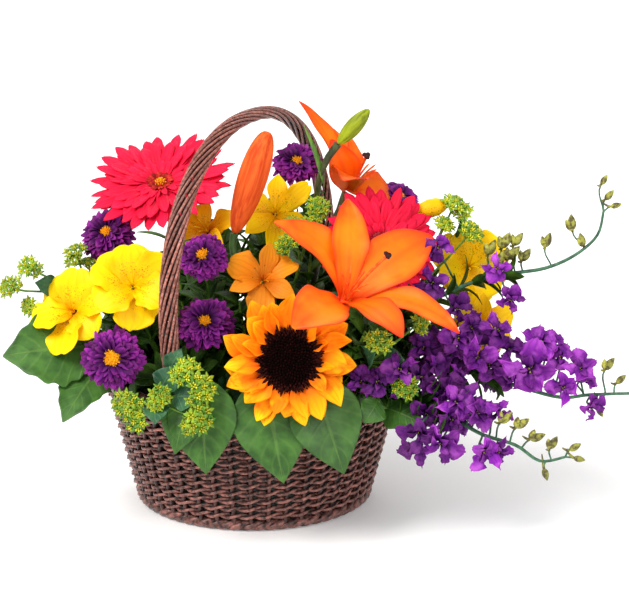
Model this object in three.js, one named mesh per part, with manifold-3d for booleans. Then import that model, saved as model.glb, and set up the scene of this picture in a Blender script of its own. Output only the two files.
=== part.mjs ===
// Flower basket arrangement: woven basket with one arched handle, wet foam in a liner,
// and the cut flowers and leaves that stand in it.
// Millimetres, +Z up, X right, Y away from the viewer, origin at the middle of the basket's underside.
import * as THREE from 'three';
import { mergeVertices } from 'three/addons/utils/BufferGeometryUtils.js';
import Module from 'manifold-3d';

const wasm = await Module();
wasm.setup();
const { Manifold } = wasm;

const SEAT = 0.3;
const TIDY = 0.12;

// basket
const WALL_HEIGHT = 98;
const WALL_BASE_RADIUS = 91;
const WALL_RIM_RADIUS = 115;
const WALL_THICK = 7;
const FLOOR_THICK = 5;
const WEAVE_ROWS = 13;
const WEAVE_COLUMNS = 36;
const WEAVE_BUMP = 1.2;
const WEAVE_GROOVE = 1.7;
const FOOT_RING_RADIUS = 87.6;
const FOOT_TUBE = 5;
const RIM_RING_RADIUS = 110.4;
const RIM_TUBE = 5.5;
const BORDER_SIDES = 6;
const BORDER_STEPS = 32;
const BORDER_LOW = Math.sin(Math.PI / 3);
const BORDER_TWISTS = 16;

// handle: an arch in an upright plane that is turned away from the viewer
const HANDLE_TURN = THREE.MathUtils.degToRad(64.4);
const HANDLE_FOOT_RADIUS = 111;
const HANDLE_BULGE_RADIUS = 130.9;
const HANDLE_BULGE_HEIGHT = 166.6;
const HANDLE_TOP = 296.9;
const HANDLE_POWER = 2.21;
const HANDLE_HALF_WIDE = 7.6;
const HANDLE_HALF_DEEP = 5.2;
const HANDLE_LOBES = 4;
const HANDLE_LOBE_DEPTH = 0.13;
const HANDLE_TWIST_LENGTH = 88;
const HANDLE_STEPS = 46;

// liner and foam
const LINER_THICK = 1.4;
const LINER_TOP = 84;
const FOAM_RIM = 90;
const FOAM_DOME = 12;
const FOAM_RADIUS = 99;
const STEM_DEPTH = 30;
const HOLE_CLEAR = 0.4;
const STEM_FOCUS = new THREE.Vector3(0, 0, -70);
const ENTRY_LIMIT = 80;

const V = (x, y, z) => new THREE.Vector3(x, y, z);
const AHEAD = (from, direction, distance) => from.clone().addScaledVector(direction, distance);

function solidOf(geometry) {
  const bare = geometry.clone();
  bare.deleteAttribute('normal');
  bare.deleteAttribute('uv');
  const merged = mergeVertices(bare, 1e-3);
  const index = merged.index.array;
  const kept = [];
  for (let i = 0; i < index.length; i += 3) {
    const [a, b, c] = [index[i], index[i + 1], index[i + 2]];
    if (a !== b && b !== c && c !== a) kept.push(a, b, c);
  }
  return new Manifold(new wasm.Mesh({
    numProp: 3,
    vertProperties: Float32Array.from(merged.attributes.position.array),
    triVerts: Uint32Array.from(kept),
  }));
}

// joins the solids, fills a hollow that the joining seals and drops a loose scrap
function fuse(solids) {
  const joined = Manifold.union(solids);
  const bodies = joined.simplify(TIDY).decompose();
  return bodies.reduce((best, body) => (body.volume() > best.volume() ? body : best));
}

function geometryOf(solid) {
  const mesh = solid.getMesh();
  const geometry = new THREE.BufferGeometry();
  geometry.setAttribute('position', new THREE.BufferAttribute(Float32Array.from(mesh.vertProperties), 3));
  geometry.setIndex(new THREE.BufferAttribute(Uint32Array.from(mesh.triVerts), 1));
  geometry.computeVertexNormals();
  return geometry;
}

const group = new THREE.Group();
group.name = 'flower_basket_arrangement';

function addMesh(name, solid, color, roughness) {
  const material = new THREE.MeshStandardMaterial({ color, roughness, metalness: 0 });
  const mesh = new THREE.Mesh(geometryOf(solid), material);
  mesh.name = name;
  group.add(mesh);
}

// a flower's own frame: out of its face, to the right and up as the viewer sees it
function frameAt(at, facing) {
  const out = facing.clone().normalize();
  const right = new THREE.Vector3().crossVectors(V(0, 0, 1), out).normalize();
  const up = new THREE.Vector3().crossVectors(out, right);
  return { at: at.clone(), out, right, up };
}

function inFrame(frame, radius, angle, height) {
  return frame.at.clone()
    .addScaledVector(frame.right, radius * Math.cos(angle))
    .addScaledVector(frame.up, radius * Math.sin(angle))
    .addScaledVector(frame.out, height);
}

// a petal or leaf: thick along its midrib, thin at its edges, bent and waved by formula
function blade({ root, tip, face, width, thick = 1.3, rings = 2, arch = 0, cup = 0, wave = 0, waves = 2,
  widest = 0.55, blunt = 0.75 }) {
  const geometry = new THREE.SphereGeometry(1, 4, rings + 1);
  const along = tip.clone().sub(root);
  const length = along.length();
  along.normalize();
  const side = new THREE.Vector3().crossVectors(face, along).normalize();
  const up = new THREE.Vector3().crossVectors(along, side);
  const stretch = Math.log(0.5) / Math.log(widest);
  const position = geometry.attributes.position;
  for (let i = 0; i < position.count; i += 1) {
    const t = Math.acos(THREE.MathUtils.clamp(position.getY(i), -1, 1)) / Math.PI;
    const ring = Math.sin(Math.PI * t);
    const across = ring > 1e-6 ? position.getX(i) / ring : 0;
    const over = ring > 1e-6 ? position.getZ(i) / ring : 0;
    const spread = Math.sin(Math.PI * t ** stretch) ** blunt;
    const lift = arch * 4 * t * (1 - t)
      + cup * across * across * spread
      + wave * across * Math.sin(2 * Math.PI * waves * t) * spread
      + over * thick / 2;
    const point = root.clone()
      .addScaledVector(along, length * t)
      .addScaledVector(side, across * spread * width / 2)
      .addScaledVector(up, lift);
    position.setXYZ(i, point.x, point.y, point.z);
  }
  return solidOf(geometry);
}

// a round stem or rod through the points, with one radius at each of them
function tube(points, radii, sides = 5, arriving = null) {
  const count = points.length - 1;
  const geometry = new THREE.CylinderGeometry(1, 1, 1, sides, count);
  const tangents = points.map((point, i) => {
    const before = points[Math.max(i - 1, 0)];
    const after = points[Math.min(i + 1, count)];
    return after.clone().sub(before).normalize();
  });
  if (arriving) tangents[count] = arriving.clone().normalize();
  const start = Math.abs(tangents[0].z) < 0.9 ? V(0, 0, 1) : V(1, 0, 0);
  let normal = start.clone().addScaledVector(tangents[0], -start.dot(tangents[0])).normalize();
  const normals = tangents.map((tangent) => {
    normal = normal.clone().addScaledVector(tangent, -normal.dot(tangent)).normalize();
    return normal;
  });
  const position = geometry.attributes.position;
  for (let i = 0; i < position.count; i += 1) {
    const ring = Math.round((0.5 - position.getY(i)) * count);
    const radius = Array.isArray(radii) ? radii[ring] : radii;
    const other = new THREE.Vector3().crossVectors(tangents[ring], normals[ring]);
    const point = points[ring].clone()
      .addScaledVector(normals[ring], position.getX(i) * radius)
      .addScaledVector(other, position.getZ(i) * radius);
    position.setXYZ(i, point.x, point.y, point.z);
  }
  return solidOf(geometry);
}

// points of a smooth bend between two places, leaving and arriving along the given directions
function bend(from, leaving, to, arriving, steps = 4, pull = 0.36) {
  const reach = from.distanceTo(to) * pull;
  const curve = new THREE.CubicBezierCurve3(
    from,
    AHEAD(from, leaving, reach),
    AHEAD(to, arriving, -reach),
    to,
  );
  return curve.getPoints(steps);
}

const foamHeight = (x, y) => FOAM_RIM + FOAM_DOME * (1 - (x * x + y * y) / (FOAM_RADIUS * FOAM_RADIUS));

// where the straight line from the focus to a flower leaves the foam, kept inside the rim
function entryFor(target) {
  const ray = target.clone().sub(STEM_FOCUS);
  let point = target.clone();
  for (let share = 0.3; share < 1; share += 0.005) {
    point = AHEAD(STEM_FOCUS, ray, share);
    if (point.z > foamHeight(point.x, point.y)) break;
  }
  const radius = Math.hypot(point.x, point.y);
  if (radius > ENTRY_LIMIT) {
    point.x *= ENTRY_LIMIT / radius;
    point.y *= ENTRY_LIMIT / radius;
    point.z = foamHeight(point.x, point.y);
  }
  return point;
}

const holes = [];

// the straight foot of a stem, from its lower end in the foam to just above the foam
function footOf(entry, radius) {
  const up = entry.clone().sub(STEM_FOCUS).normalize();
  const low = AHEAD(entry, up, -STEM_DEPTH);
  const high = AHEAD(entry, up, 5);
  holes.push({ low: AHEAD(low, up, -SEAT), high: AHEAD(entry, up, 25), radius: radius + HOLE_CLEAR });
  return { low, entry, high, up };
}

function spot(x, y) {
  return V(x, y, foamHeight(x, y));
}

// one stem from the foam to the back of one flower
function flowerStem({ target, facing, radius, entry, pull, flare = 2.2, steps = 4, sides = 5 }) {
  const foot = footOf(entry ?? entryFor(target), radius);
  const climb = bend(foot.high, foot.up, target, facing, steps, pull);
  const points = [foot.low, foot.entry, ...climb];
  const radii = points.map((_, i) => (i === points.length - 1 ? radius * flare : radius));
  return tube(points, radii, sides, facing);
}

// a stem that forks once and carries a flower on each branch
function forkedStem({ fork, ends, radius, entry, branch = 0.75, steps = 3 }) {
  const foot = footOf(entry ?? entryFor(fork), radius);
  const lean = fork.clone().sub(foot.high).normalize();
  const parts = [tube([foot.low, foot.entry, ...bend(foot.high, foot.up, fork, lean, 2)], radius, 4)];
  for (const end of ends) {
    const thin = radius * branch;
    const from = AHEAD(fork, lean, -2.5 * radius);
    const climb = bend(from, lean, end.target, end.facing, steps, end.pull ?? 0.34);
    const radii = climb.map((_, i) => (i === steps ? thin * (end.flare ?? 2) : thin));
    parts.push(tube(climb, radii, 4, end.facing));
  }
  return parts;
}

// one ring of petals about a flower's middle
function petalRing(frame, { count, reach, inner, low, tilt, width, turn = 0, uneven = 0, random, ...shape }) {
  const petals = [];
  for (let i = 0; i < count; i += 1) {
    const angle = turn + (2 * Math.PI * i) / count;
    const sway = random ? (random() - 0.5) * uneven : 0;
    const far = reach * (1 + sway);
    const rise = tilt + sway * 0.5;
    const tip = inFrame(frame, far, angle + sway * 0.2, low + (far - inner) * Math.tan(rise));
    petals.push(blade({
      root: inFrame(frame, inner, angle, low),
      tip,
      face: frame.out,
      width,
      ...shape,
    }));
  }
  return petals;
}

// outline of one petal, as pairs of its share of the turn and its share of the reach
const POINTED = [[0, 0], [0.5, 1]];
const ROUNDED = [[0, 0], [0.3, 0.88], [0.5, 1], [0.7, 0.88]];
const STRAP = [[0, 0], [0.14, 0.72], [0.5, 1], [0.86, 0.72]];

// a whole ring of petals as one thin body: notched to its edge, thickest along each midrib
function corolla(frame, { count, reach, notch, outline = POINTED, low, tilt, thick = 2.4, turn = 0,
  uneven = 0, random }) {
  const around = count * outline.length;
  const geometry = new THREE.SphereGeometry(1, around, 2);
  const reaches = Array.from({ length: count }, () => reach * (1 + (random ? (random() - 0.5) * uneven : 0)));
  const lifts = Array.from({ length: count }, () => (random ? (random() - 0.5) * uneven * 0.12 * reach : 0));
  const position = geometry.attributes.position;
  for (let i = 0; i < position.count; i += 1) {
    const about = Math.atan2(position.getZ(i), position.getX(i));
    const step = (Math.round((about / (2 * Math.PI)) * around) + around) % around;
    const petal = Math.floor(step / outline.length);
    const [share, far] = outline[step % outline.length];
    const band = 1 - Math.round(position.getY(i));
    const out = 1 - Math.abs(band - 1);
    const edge = notch * reach + (reaches[petal] - notch * reach) * far;
    const radius = edge * out;
    const angle = turn - (2 * Math.PI * (petal + share)) / count;
    const half = (thick / 2) * (1 - out ** 1.5) * Math.sign(1 - band);
    const height = low + radius * Math.tan(tilt) * (radius / reach) + half + lifts[petal] * far * out;
    const point = inFrame(frame, radius, angle, height);
    position.setXYZ(i, point.x, point.y, point.z);
  }
  return solidOf(geometry);
}

function seeded(seed) {
  let state = seed;
  return () => {
    state = (state * 1664525 + 1013904223) % 4294967296;
    return state / 4294967296;
  };
}

function coreOf(frame, radius, back, front, sides = 8) {
  return tube([AHEAD(frame.at, frame.out, back), AHEAD(frame.at, frame.out, front)], radius, sides);
}

// basket wall and floor in one closed turned profile, its outside raised over and under the stakes
const wallRadius = (z) => WALL_BASE_RADIUS + (WALL_RIM_RADIUS - WALL_BASE_RADIUS) * (z / WALL_HEIGHT);

function wovenWall() {
  const bottom = 2 * FOOT_TUBE * BORDER_LOW + SEAT + 0.1;
  const top = WALL_HEIGHT - RIM_TUBE * BORDER_LOW - SEAT;
  const floorRadius = FOOT_RING_RADIUS - FOOT_TUBE - 0.5;
  const profile = [new THREE.Vector2(0, 0), new THREE.Vector2(floorRadius, 0)];
  profile.push(new THREE.Vector2(floorRadius, bottom));
  const firstWoven = profile.length;
  for (let i = 0; i <= 2 * WEAVE_ROWS; i += 1) {
    const z = bottom + ((top - bottom) * i) / (2 * WEAVE_ROWS);
    profile.push(new THREE.Vector2(wallRadius(z) - WEAVE_GROOVE, z));
  }
  const lastWoven = profile.length - 1;
  profile.push(new THREE.Vector2(wallRadius(top) - WALL_THICK, top));
  profile.push(new THREE.Vector2(floorRadius - 2, bottom));
  profile.push(new THREE.Vector2(floorRadius - 2, FLOOR_THICK));
  profile.push(new THREE.Vector2(0, FLOOR_THICK));
  const geometry = new THREE.LatheGeometry(profile, WEAVE_COLUMNS);
  const position = geometry.attributes.position;
  for (let i = 0; i < position.count; i += 1) {
    const row = (i % profile.length) - firstWoven;
    const column = Math.floor(i / profile.length) % WEAVE_COLUMNS;
    const woven = row > 0 && row < lastWoven - firstWoven && row % 2 === 1;
    const raised = woven && (column + (row - 1) / 2) % 2 === 0;
    const radius = Math.hypot(position.getX(i), position.getZ(i));
    const height = position.getY(i);
    const grown = radius + (woven ? WEAVE_GROOVE : 0) + (raised ? WEAVE_BUMP : 0);
    const angle = (2 * Math.PI * column) / WEAVE_COLUMNS;
    position.setXYZ(i, grown * Math.sin(angle), -grown * Math.cos(angle), height);
  }
  return solidOf(geometry);
}

// a border of rods laid round a ring and twisted on each other
function twistedRing(ringRadius, tubeRadius, height) {
  const geometry = new THREE.TorusGeometry(ringRadius, tubeRadius, BORDER_SIDES, BORDER_STEPS);
  const position = geometry.attributes.position;
  for (let i = 0; i < position.count; i += 1) {
    const x = position.getX(i);
    const y = position.getY(i);
    const round = Math.atan2(y, x);
    const out = Math.hypot(x, y) - ringRadius;
    const about = Math.atan2(position.getZ(i), out);
    const lobe = 0.93 + 0.07 * Math.cos(2 * about + BORDER_TWISTS * round);
    const far = ringRadius + out * lobe;
    position.setXYZ(i, far * Math.cos(round), far * Math.sin(round), height + position.getZ(i) * lobe);
  }
  return solidOf(geometry);
}

// centreline of the handle's arch: a bulging lower part and a rounded top
function handleLine() {
  const spread = [];
  const lowSteps = 8;
  const top = WALL_HEIGHT + RIM_TUBE * BORDER_LOW + SEAT;
  for (let i = 0; i < lowSteps; i += 1) {
    const z = top + ((HANDLE_BULGE_HEIGHT - top) * i) / lowSteps;
    const share = (HANDLE_BULGE_HEIGHT - z) / (HANDLE_BULGE_HEIGHT - WALL_HEIGHT);
    const bulge = HANDLE_BULGE_RADIUS - HANDLE_FOOT_RADIUS;
    spread.push([HANDLE_BULGE_RADIUS - bulge * share * share, z]);
  }
  const quarter = (HANDLE_STEPS - 2 * lowSteps) / 2;
  for (let i = 0; i < quarter; i += 1) {
    const t = (Math.PI / 2) * (i / quarter);
    const reach = HANDLE_BULGE_RADIUS * Math.cos(t) ** (2 / HANDLE_POWER);
    const rise = (HANDLE_TOP - HANDLE_BULGE_HEIGHT) * Math.sin(t) ** (2 / HANDLE_POWER);
    spread.push([reach, HANDLE_BULGE_HEIGHT + rise]);
  }
  const near = spread.map(([d, z]) => V(-d * Math.cos(HANDLE_TURN), -d * Math.sin(HANDLE_TURN), z));
  const far = spread.map(([d, z]) => V(d * Math.cos(HANDLE_TURN), d * Math.sin(HANDLE_TURN), z));
  return [...near, V(0, 0, HANDLE_TOP), ...far.reverse()];
}

// rods roped together: a lobed oval section that turns as it climbs
function handleSolid() {
  const line = handleLine();
  const sides = 2 * HANDLE_LOBES;
  const geometry = new THREE.CylinderGeometry(1, 1, 1, sides, line.length - 1);
  const across = V(Math.sin(HANDLE_TURN), -Math.cos(HANDLE_TURN), 0);
  const lengths = [0];
  for (let i = 1; i < line.length; i += 1) lengths.push(lengths[i - 1] + line[i].distanceTo(line[i - 1]));
  const position = geometry.attributes.position;
  for (let i = 0; i < position.count; i += 1) {
    const ring = Math.round((0.5 - position.getY(i)) * (line.length - 1));
    const ahead = line[Math.min(ring + 1, line.length - 1)];
    const tangent = ahead.clone().sub(line[Math.max(ring - 1, 0)]).normalize();
    if (ring === 0) tangent.set(0, 0, 1);
    if (ring === line.length - 1) tangent.set(0, 0, -1);
    const deep = new THREE.Vector3().crossVectors(tangent, across).normalize();
    const size = Math.hypot(position.getX(i), position.getZ(i));
    const about = Math.atan2(position.getZ(i), position.getX(i));
    const turned = about + (2 * Math.PI * lengths[ring]) / HANDLE_TWIST_LENGTH;
    const lobe = size * (1 - HANDLE_LOBE_DEPTH + HANDLE_LOBE_DEPTH * Math.cos(HANDLE_LOBES * about));
    const point = line[ring].clone()
      .addScaledVector(across, lobe * HANDLE_HALF_WIDE * Math.cos(turned))
      .addScaledVector(deep, lobe * HANDLE_HALF_DEEP * Math.sin(turned));
    position.setXYZ(i, point.x, point.y, point.z);
  }
  return solidOf(geometry);
}

function turned(profile, segments) {
  const geometry = new THREE.LatheGeometry(profile.map(([r, z]) => new THREE.Vector2(r, z)), segments);
  geometry.rotateX(Math.PI / 2);
  return solidOf(geometry);
}

addMesh('basket_wall', wovenWall(), '#4a2a22', 0.7);
const footBorder = twistedRing(FOOT_RING_RADIUS, FOOT_TUBE, FOOT_TUBE * BORDER_LOW);
addMesh('basket_foot_border', footBorder, '#4a2a22', 0.7);
addMesh('basket_rim_border', twistedRing(RIM_RING_RADIUS, RIM_TUBE, WALL_HEIGHT), '#4a2a22', 0.7);
addMesh('basket_handle', handleSolid(), '#5a3026', 0.65);

const linerFloor = FLOOR_THICK + SEAT;
const linerLow = FOOT_RING_RADIUS - FOOT_TUBE - 6;
const linerHigh = wallRadius(LINER_TOP) - WALL_THICK - 3;
addMesh('liner', turned([
  [0, linerFloor],
  [linerLow, linerFloor],
  [linerHigh, LINER_TOP],
  [linerHigh - LINER_THICK, LINER_TOP],
  [linerLow - LINER_THICK, linerFloor + LINER_THICK],
  [0, linerFloor + LINER_THICK],
], 24), '#20302a', 0.5);

// a domed head of tightly packed florets, closed underneath
function floretDome(frame, { radius, height, base, sides, rings, grain, whorls }) {
  const geometry = new THREE.CylinderGeometry(1, 1, 1, sides, rings);
  const position = geometry.attributes.position;
  for (let i = 0; i < position.count; i += 1) {
    const size = Math.hypot(position.getX(i), position.getZ(i));
    const about = Math.atan2(position.getZ(i), position.getX(i));
    const t = 0.5 - position.getY(i);
    const share = size < 0.5 ? 0 : 0.12 + 0.88 * Math.sin(t * Math.PI / 2);
    const seatRing = t > 0.999;
    const whorl = Math.cos(whorls * about + 3.3 * Math.round(t * rings));
    const bump = share > 0.05 && !seatRing ? grain * whorl : 0;
    const dome = seatRing ? base : base + 0.25 * height + 0.75 * height * Math.cos(t * Math.PI / 2);
    const point = inFrame(frame, radius * share, -about, dome + bump);
    position.setXYZ(i, point.x, point.y, point.z);
  }
  return solidOf(geometry);
}

const GREEN = '#4f8a2c';
const DARK_GREEN = '#2f6b2a';

// sunflower
const SUNFLOWER = frameAt(V(29, -128, 143.5), V(-0.02, -0.95, 0.3));
const SUNFLOWER_DISC = 23;
const sunflowerShape = {
  random: seeded(11), uneven: 0.12, width: 13.6, widest: 0.5, blunt: 0.8, thick: 1.5, rings: 2,
};
addMesh('sunflower_petals', fuse([
  coreOf(SUNFLOWER, SUNFLOWER_DISC - 0.5, -4, 1, 12),
  ...petalRing(SUNFLOWER, { ...sunflowerShape, count: 15, reach: 54, inner: 17, low: -2.6, tilt: 0.05, arch: 2 }),
  ...petalRing(SUNFLOWER, {
    ...sunflowerShape, count: 12, reach: 47, inner: 19.5, low: -1.6, tilt: 0.2, turn: 0.22, arch: 2,
  }),
]), '#f6a21a', 0.6);
addMesh('sunflower_disc', floretDome(SUNFLOWER, {
  radius: SUNFLOWER_DISC - 1, height: 7, base: 1 + SEAT, sides: 16, rings: 5, grain: 0.8, whorls: 8,
}), '#2a150c', 0.8);
addMesh('sunflower_stem', flowerStem({
  target: AHEAD(SUNFLOWER.at, SUNFLOWER.out, -4 - SEAT),
  facing: SUNFLOWER.out,
  radius: 4,
  entry: spot(20, -72),
  flare: 2.6,
}), GREEN, 0.7);

const HEART_SEAT = 3.7 + SEAT;

// gerberas: two layers of strap petals about a frilled heart
function gerbera(name, frame, { reach, color, heart, entry, seed, pull, tilt }) {
  const random = seeded(seed);
  const shape = { random, uneven: 0.1, outline: STRAP, thick: 3.2 };
  addMesh(`${name}_petals`, fuse([
    corolla(frame, { ...shape, count: 20, reach, notch: 0.36, low: -1.2, tilt }),
    corolla(frame, {
      ...shape, count: 12, reach: reach * 0.66, notch: 0.42, low: 0.6, tilt: tilt + 0.16, turn: 0.17,
    }),
  ]), color, 0.6);
  addMesh(`${name}_heart`, fuse([
    floretDome(frame, { radius: 6, height: 5, base: HEART_SEAT, sides: 10, rings: 2, grain: 0.6, whorls: 5 }),
    corolla(frame, { count: 12, reach: 10.8, notch: 0.72, low: HEART_SEAT + 1.6, tilt: 0.6, thick: 3 }),
  ]), heart, 0.7);
  addMesh(`${name}_stem`, flowerStem({
    target: AHEAD(frame.at, frame.out, -2.7 - SEAT), facing: frame.out, radius: 3, entry, pull, flare: 2.6,
  }), GREEN, 0.7);
}
gerbera('gerbera_left', frameAt(V(-68, -5, 246), V(-0.14, -0.48, 0.86)), {
  reach: 56, color: '#e3173f', heart: '#f0552a', entry: spot(-30, 0), seed: 5, tilt: 0.1,
});
gerbera('gerbera_right', frameAt(V(96, -42, 206), V(0.2, -0.84, 0.5)), {
  reach: 48, color: '#c8102e', heart: '#8f1020', entry: spot(50, -18), seed: 8, tilt: 0.12,
});

// lilies: six recurved tepals, six stamens and a pistil
function lilyFlower(name, frame, tips, { width, arch, stamens, reach, color }) {
  const tepals = tips.map(([x, y, z], i) => {
    const tip = V(x, y, z);
    const toward = tip.clone().sub(frame.at);
    const angle = Math.atan2(toward.dot(frame.up), toward.dot(frame.right));
    return blade({
      root: inFrame(frame, 3, angle, -1),
      tip,
      face: frame.out,
      width: i % 2 === 0 ? width : width * 0.82,
      thick: 1.6,
      rings: 4,
      arch,
      cup: 2,
      wave: 1.2,
      waves: 1.5,
      widest: 0.52,
      blunt: 0.9,
    });
  });
  addMesh(`${name}_tepals`, fuse([coreOf(frame, 6, -4, 2), ...tepals]), color, 0.55);
  const seat = AHEAD(frame.at, frame.out, 2 + SEAT);
  const parts = [tube([seat, AHEAD(seat, frame.out, 4)], 2)];
  for (let i = 0; i < stamens; i += 1) {
    const angle = 0.5 + (2 * Math.PI * i) / stamens;
    const start = AHEAD(frame.at, frame.out, 4.5);
    const middle = inFrame(frame, reach * 0.28, angle, reach * 0.6);
    const end = inFrame(frame, reach * 0.62, angle, reach);
    parts.push(tube([start, middle, end], [1, 0.8, 0.8], 4));
    const sideways = frame.right.clone().multiplyScalar(-Math.sin(angle));
    sideways.addScaledVector(frame.up, Math.cos(angle));
    parts.push(blade({
      root: AHEAD(end, sideways, -5),
      tip: AHEAD(end, sideways, 5),
      face: frame.out,
      width: 3,
      thick: 2.6,
      rings: 1,
    }));
  }
  const pistil = [AHEAD(frame.at, frame.out, 4), inFrame(frame, reach * 0.1, 5.2, reach * 1.15)];
  parts.push(tube(pistil, [1, 1.5], 5));
  addMesh(`${name}_stamens`, fuse(parts), '#7a2413', 0.7);
}
const LILY_FRONT = frameAt(V(69, -98, 180), V(0.27, -0.58, 0.77));
lilyFlower('lily_front', LILY_FRONT, [
  [20, -97, 240],
  [71, -65, 247],
  [132, -71, 221],
  [149, -136, 165],
  [108, -153, 167],
  [32, -172, 179],
], { width: 27, arch: 8, stamens: 4, reach: 33, color: '#ee6a1c' });
const LILY_BACK = frameAt(V(74, 12, 238), V(0.5, 0.1, 0.86));
lilyFlower('lily_back', LILY_BACK, [
  [78, -20, 286],
  [35, 12, 303],
  [57, 40, 284],
  [80, 62, 252],
  [104, 78, 224],
  [70, -42, 260],
], { width: 26, arch: 5, stamens: 3, reach: 32, color: '#f07a2a' });

const LILY_BUD = { base: V(-12, -47, 217), tip: V(13, -47, 293) };
const budAxis = LILY_BUD.tip.clone().sub(LILY_BUD.base).normalize();
function bud(base, tip, width, ridges, steps = 6) {
  const shares = Array.from({ length: steps + 1 }, (_, i) => i / steps);
  const points = shares.map((t) => base.clone().lerp(tip, t));
  const radii = shares.map((t) => 0.5 * width * Math.max(Math.sin(Math.PI * (0.07 + 0.9 * t) ** 0.85), 0.09));
  return tube(points, radii, ridges);
}
addMesh('lily_bud', bud(LILY_BUD.base, LILY_BUD.tip, 25, 9), '#ef7a33', 0.55);

const GREEN_BUD = { base: V(64, -44, 283), tip: V(87, -44, 309) };
const greenBudAxis = GREEN_BUD.tip.clone().sub(GREEN_BUD.base).normalize();
addMesh('lily_stem_front', fuse(forkedStem({
  fork: V(26, -58, 138),
  radius: 3.2,
  entry: spot(26, -44),
  ends: [
    { target: AHEAD(LILY_FRONT.at, LILY_FRONT.out, -4 - SEAT), facing: LILY_FRONT.out, flare: 2 },
    { target: AHEAD(LILY_BUD.base, budAxis, -SEAT), facing: budAxis, flare: 1 },
  ],
})), GREEN, 0.7);
addMesh('lily_stem_back', fuse([
  ...forkedStem({
    fork: V(48, -2, 178),
    radius: 3.2,
    entry: spot(28, 4),
    ends: [
      { target: AHEAD(LILY_BACK.at, LILY_BACK.out, -4 - SEAT), facing: LILY_BACK.out, flare: 2 },
      { target: AHEAD(GREEN_BUD.base, greenBudAxis, 2), facing: greenBudAxis, flare: 1 },
    ],
  }),
  bud(GREEN_BUD.base, GREEN_BUD.tip, 15, 7),
]), '#5d7d2a', 0.65);

// alstroemeria: small flared flowers in loose heads
const ALSTROEMERIA = [
  ['left_a', V(-130, -75, 166), V(-0.35, -0.8, 0.5), 32, 'left', '#f7d417'],
  ['left_b', V(-84, -88, 188), V(0.05, -0.85, 0.52), 31, 'left', '#f9dc1c'],
  ['top_a', V(20, -22, 228), V(0.1, -0.7, 0.7), 26, 'top', '#f2bd1a'],
  ['top_b', V(-34, -20, 214), V(-0.3, -0.75, 0.6), 24, 'top', '#efc01c'],
  ['top_c', V(6, -62, 186), V(-0.1, -0.85, 0.5), 25, 'top', '#ee9a1e'],
  ['right_a', V(164, -12, 184), V(0.45, -0.75, 0.5), 27, 'right', '#f5cf1a'],
  ['right_b', V(174, -30, 142), V(0.45, -0.85, 0.25), 26, 'right', '#f2c21a'],
];
const alstroemeriaEnds = { left: [], top: [], right: [] };
for (const [name, at, facing, reach, side, color] of ALSTROEMERIA) {
  const frame = frameAt(at, facing);
  const shape = { inner: 1.5, widest: 0.62, blunt: 0.8, thick: 1.4, rings: 2, cup: 1.5 };
  const rings = [
    coreOf(frame, 4, -8, -2, 6),
    ...petalRing(frame, { ...shape, count: 3, reach, low: -5.5, tilt: 0.32, width: 21, turn: 0.5, arch: 5 }),
    ...petalRing(frame, {
      ...shape, count: 3, reach: reach * 0.94, low: -4, tilt: 0.46, width: 13, turn: 1.55, arch: 5,
    }),
  ];
  addMesh(`alstroemeria_${name}`, fuse(rings), color, 0.5);
  alstroemeriaEnds[side].push({ target: AHEAD(frame.at, frame.out, -8 - SEAT), facing: frame.out, flare: 2 });
}
const RIGHT_BUD = { base: V(134, -6, 226), tip: V(116, -14, 238) };
const rightBudAxis = RIGHT_BUD.tip.clone().sub(RIGHT_BUD.base).normalize();
addMesh('alstroemeria_stem_left', fuse(forkedStem({
  fork: V(-74, -52, 136), radius: 2.2, entry: spot(-58, -38), ends: alstroemeriaEnds.left,
})), GREEN, 0.7);
addMesh('alstroemeria_stem_top', fuse(forkedStem({
  fork: V(-2, -22, 160), radius: 2.2, entry: spot(-2, -20), ends: alstroemeriaEnds.top,
})), GREEN, 0.7);
addMesh('alstroemeria_stem_right', fuse([
  ...forkedStem({
    fork: V(112, -8, 140),
    radius: 2.2,
    entry: spot(70, -8),
    ends: [...alstroemeriaEnds.right, { target: RIGHT_BUD.base, facing: rightBudAxis, flare: 1 }],
  }),
  bud(RIGHT_BUD.base, RIGHT_BUD.tip, 11, 6, 4),
]), '#8fae2c', 0.65);

// asters: two close rings of narrow rays about a gold eye
const ASTERS = [
  ['left_high', V(-108, -18, 210), V(-0.4, -0.75, 0.55), 21, 'left'],
  ['left_low', V(-97, -112, 140), V(-0.15, -0.93, 0.3), 24, 'left'],
  ['middle_high', V(-34, -66, 204), V(-0.2, -0.85, 0.45), 19, 'middle'],
  ['middle_low', V(-32, -88, 160), V(-0.1, -0.93, 0.3), 20, 'middle'],
  ['top', V(34, 12, 258), V(0, -0.7, 0.7), 17, 'top'],
  ['back', V(112, 34, 226), V(0.35, -0.45, 0.8), 18, 'top'],
];
const asterEnds = { left: [], middle: [], top: [] };
ASTERS.forEach(([name, at, facing, reach, side], i) => {
  const frame = frameAt(at, facing);
  const shape = { random: seeded(20 + i), uneven: 0.16, thick: 3 };
  addMesh(`aster_${name}_rays`, fuse([
    corolla(frame, { ...shape, count: 16, reach, notch: 0.42, low: -0.9, tilt: 0.08 }),
    corolla(frame, { ...shape, count: 12, reach: reach * 0.78, notch: 0.44, low: 0, tilt: 0.36, turn: 0.2 }),
  ]), '#4b1c84', 0.65);
  addMesh(`aster_${name}_eye`, floretDome(frame, {
    radius: 3.9, height: 3, base: 2.7 + SEAT, sides: 8, rings: 2, grain: 0.4, whorls: 4,
  }), '#e0a526', 0.8);
  asterEnds[side].push({ target: AHEAD(frame.at, frame.out, -2.4 - SEAT), facing: frame.out, flare: 2.2 });
});
addMesh('aster_stem_left', fuse(forkedStem({
  fork: V(-84, -30, 132), radius: 2, entry: spot(-70, -18), ends: asterEnds.left,
})), GREEN, 0.7);
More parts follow.
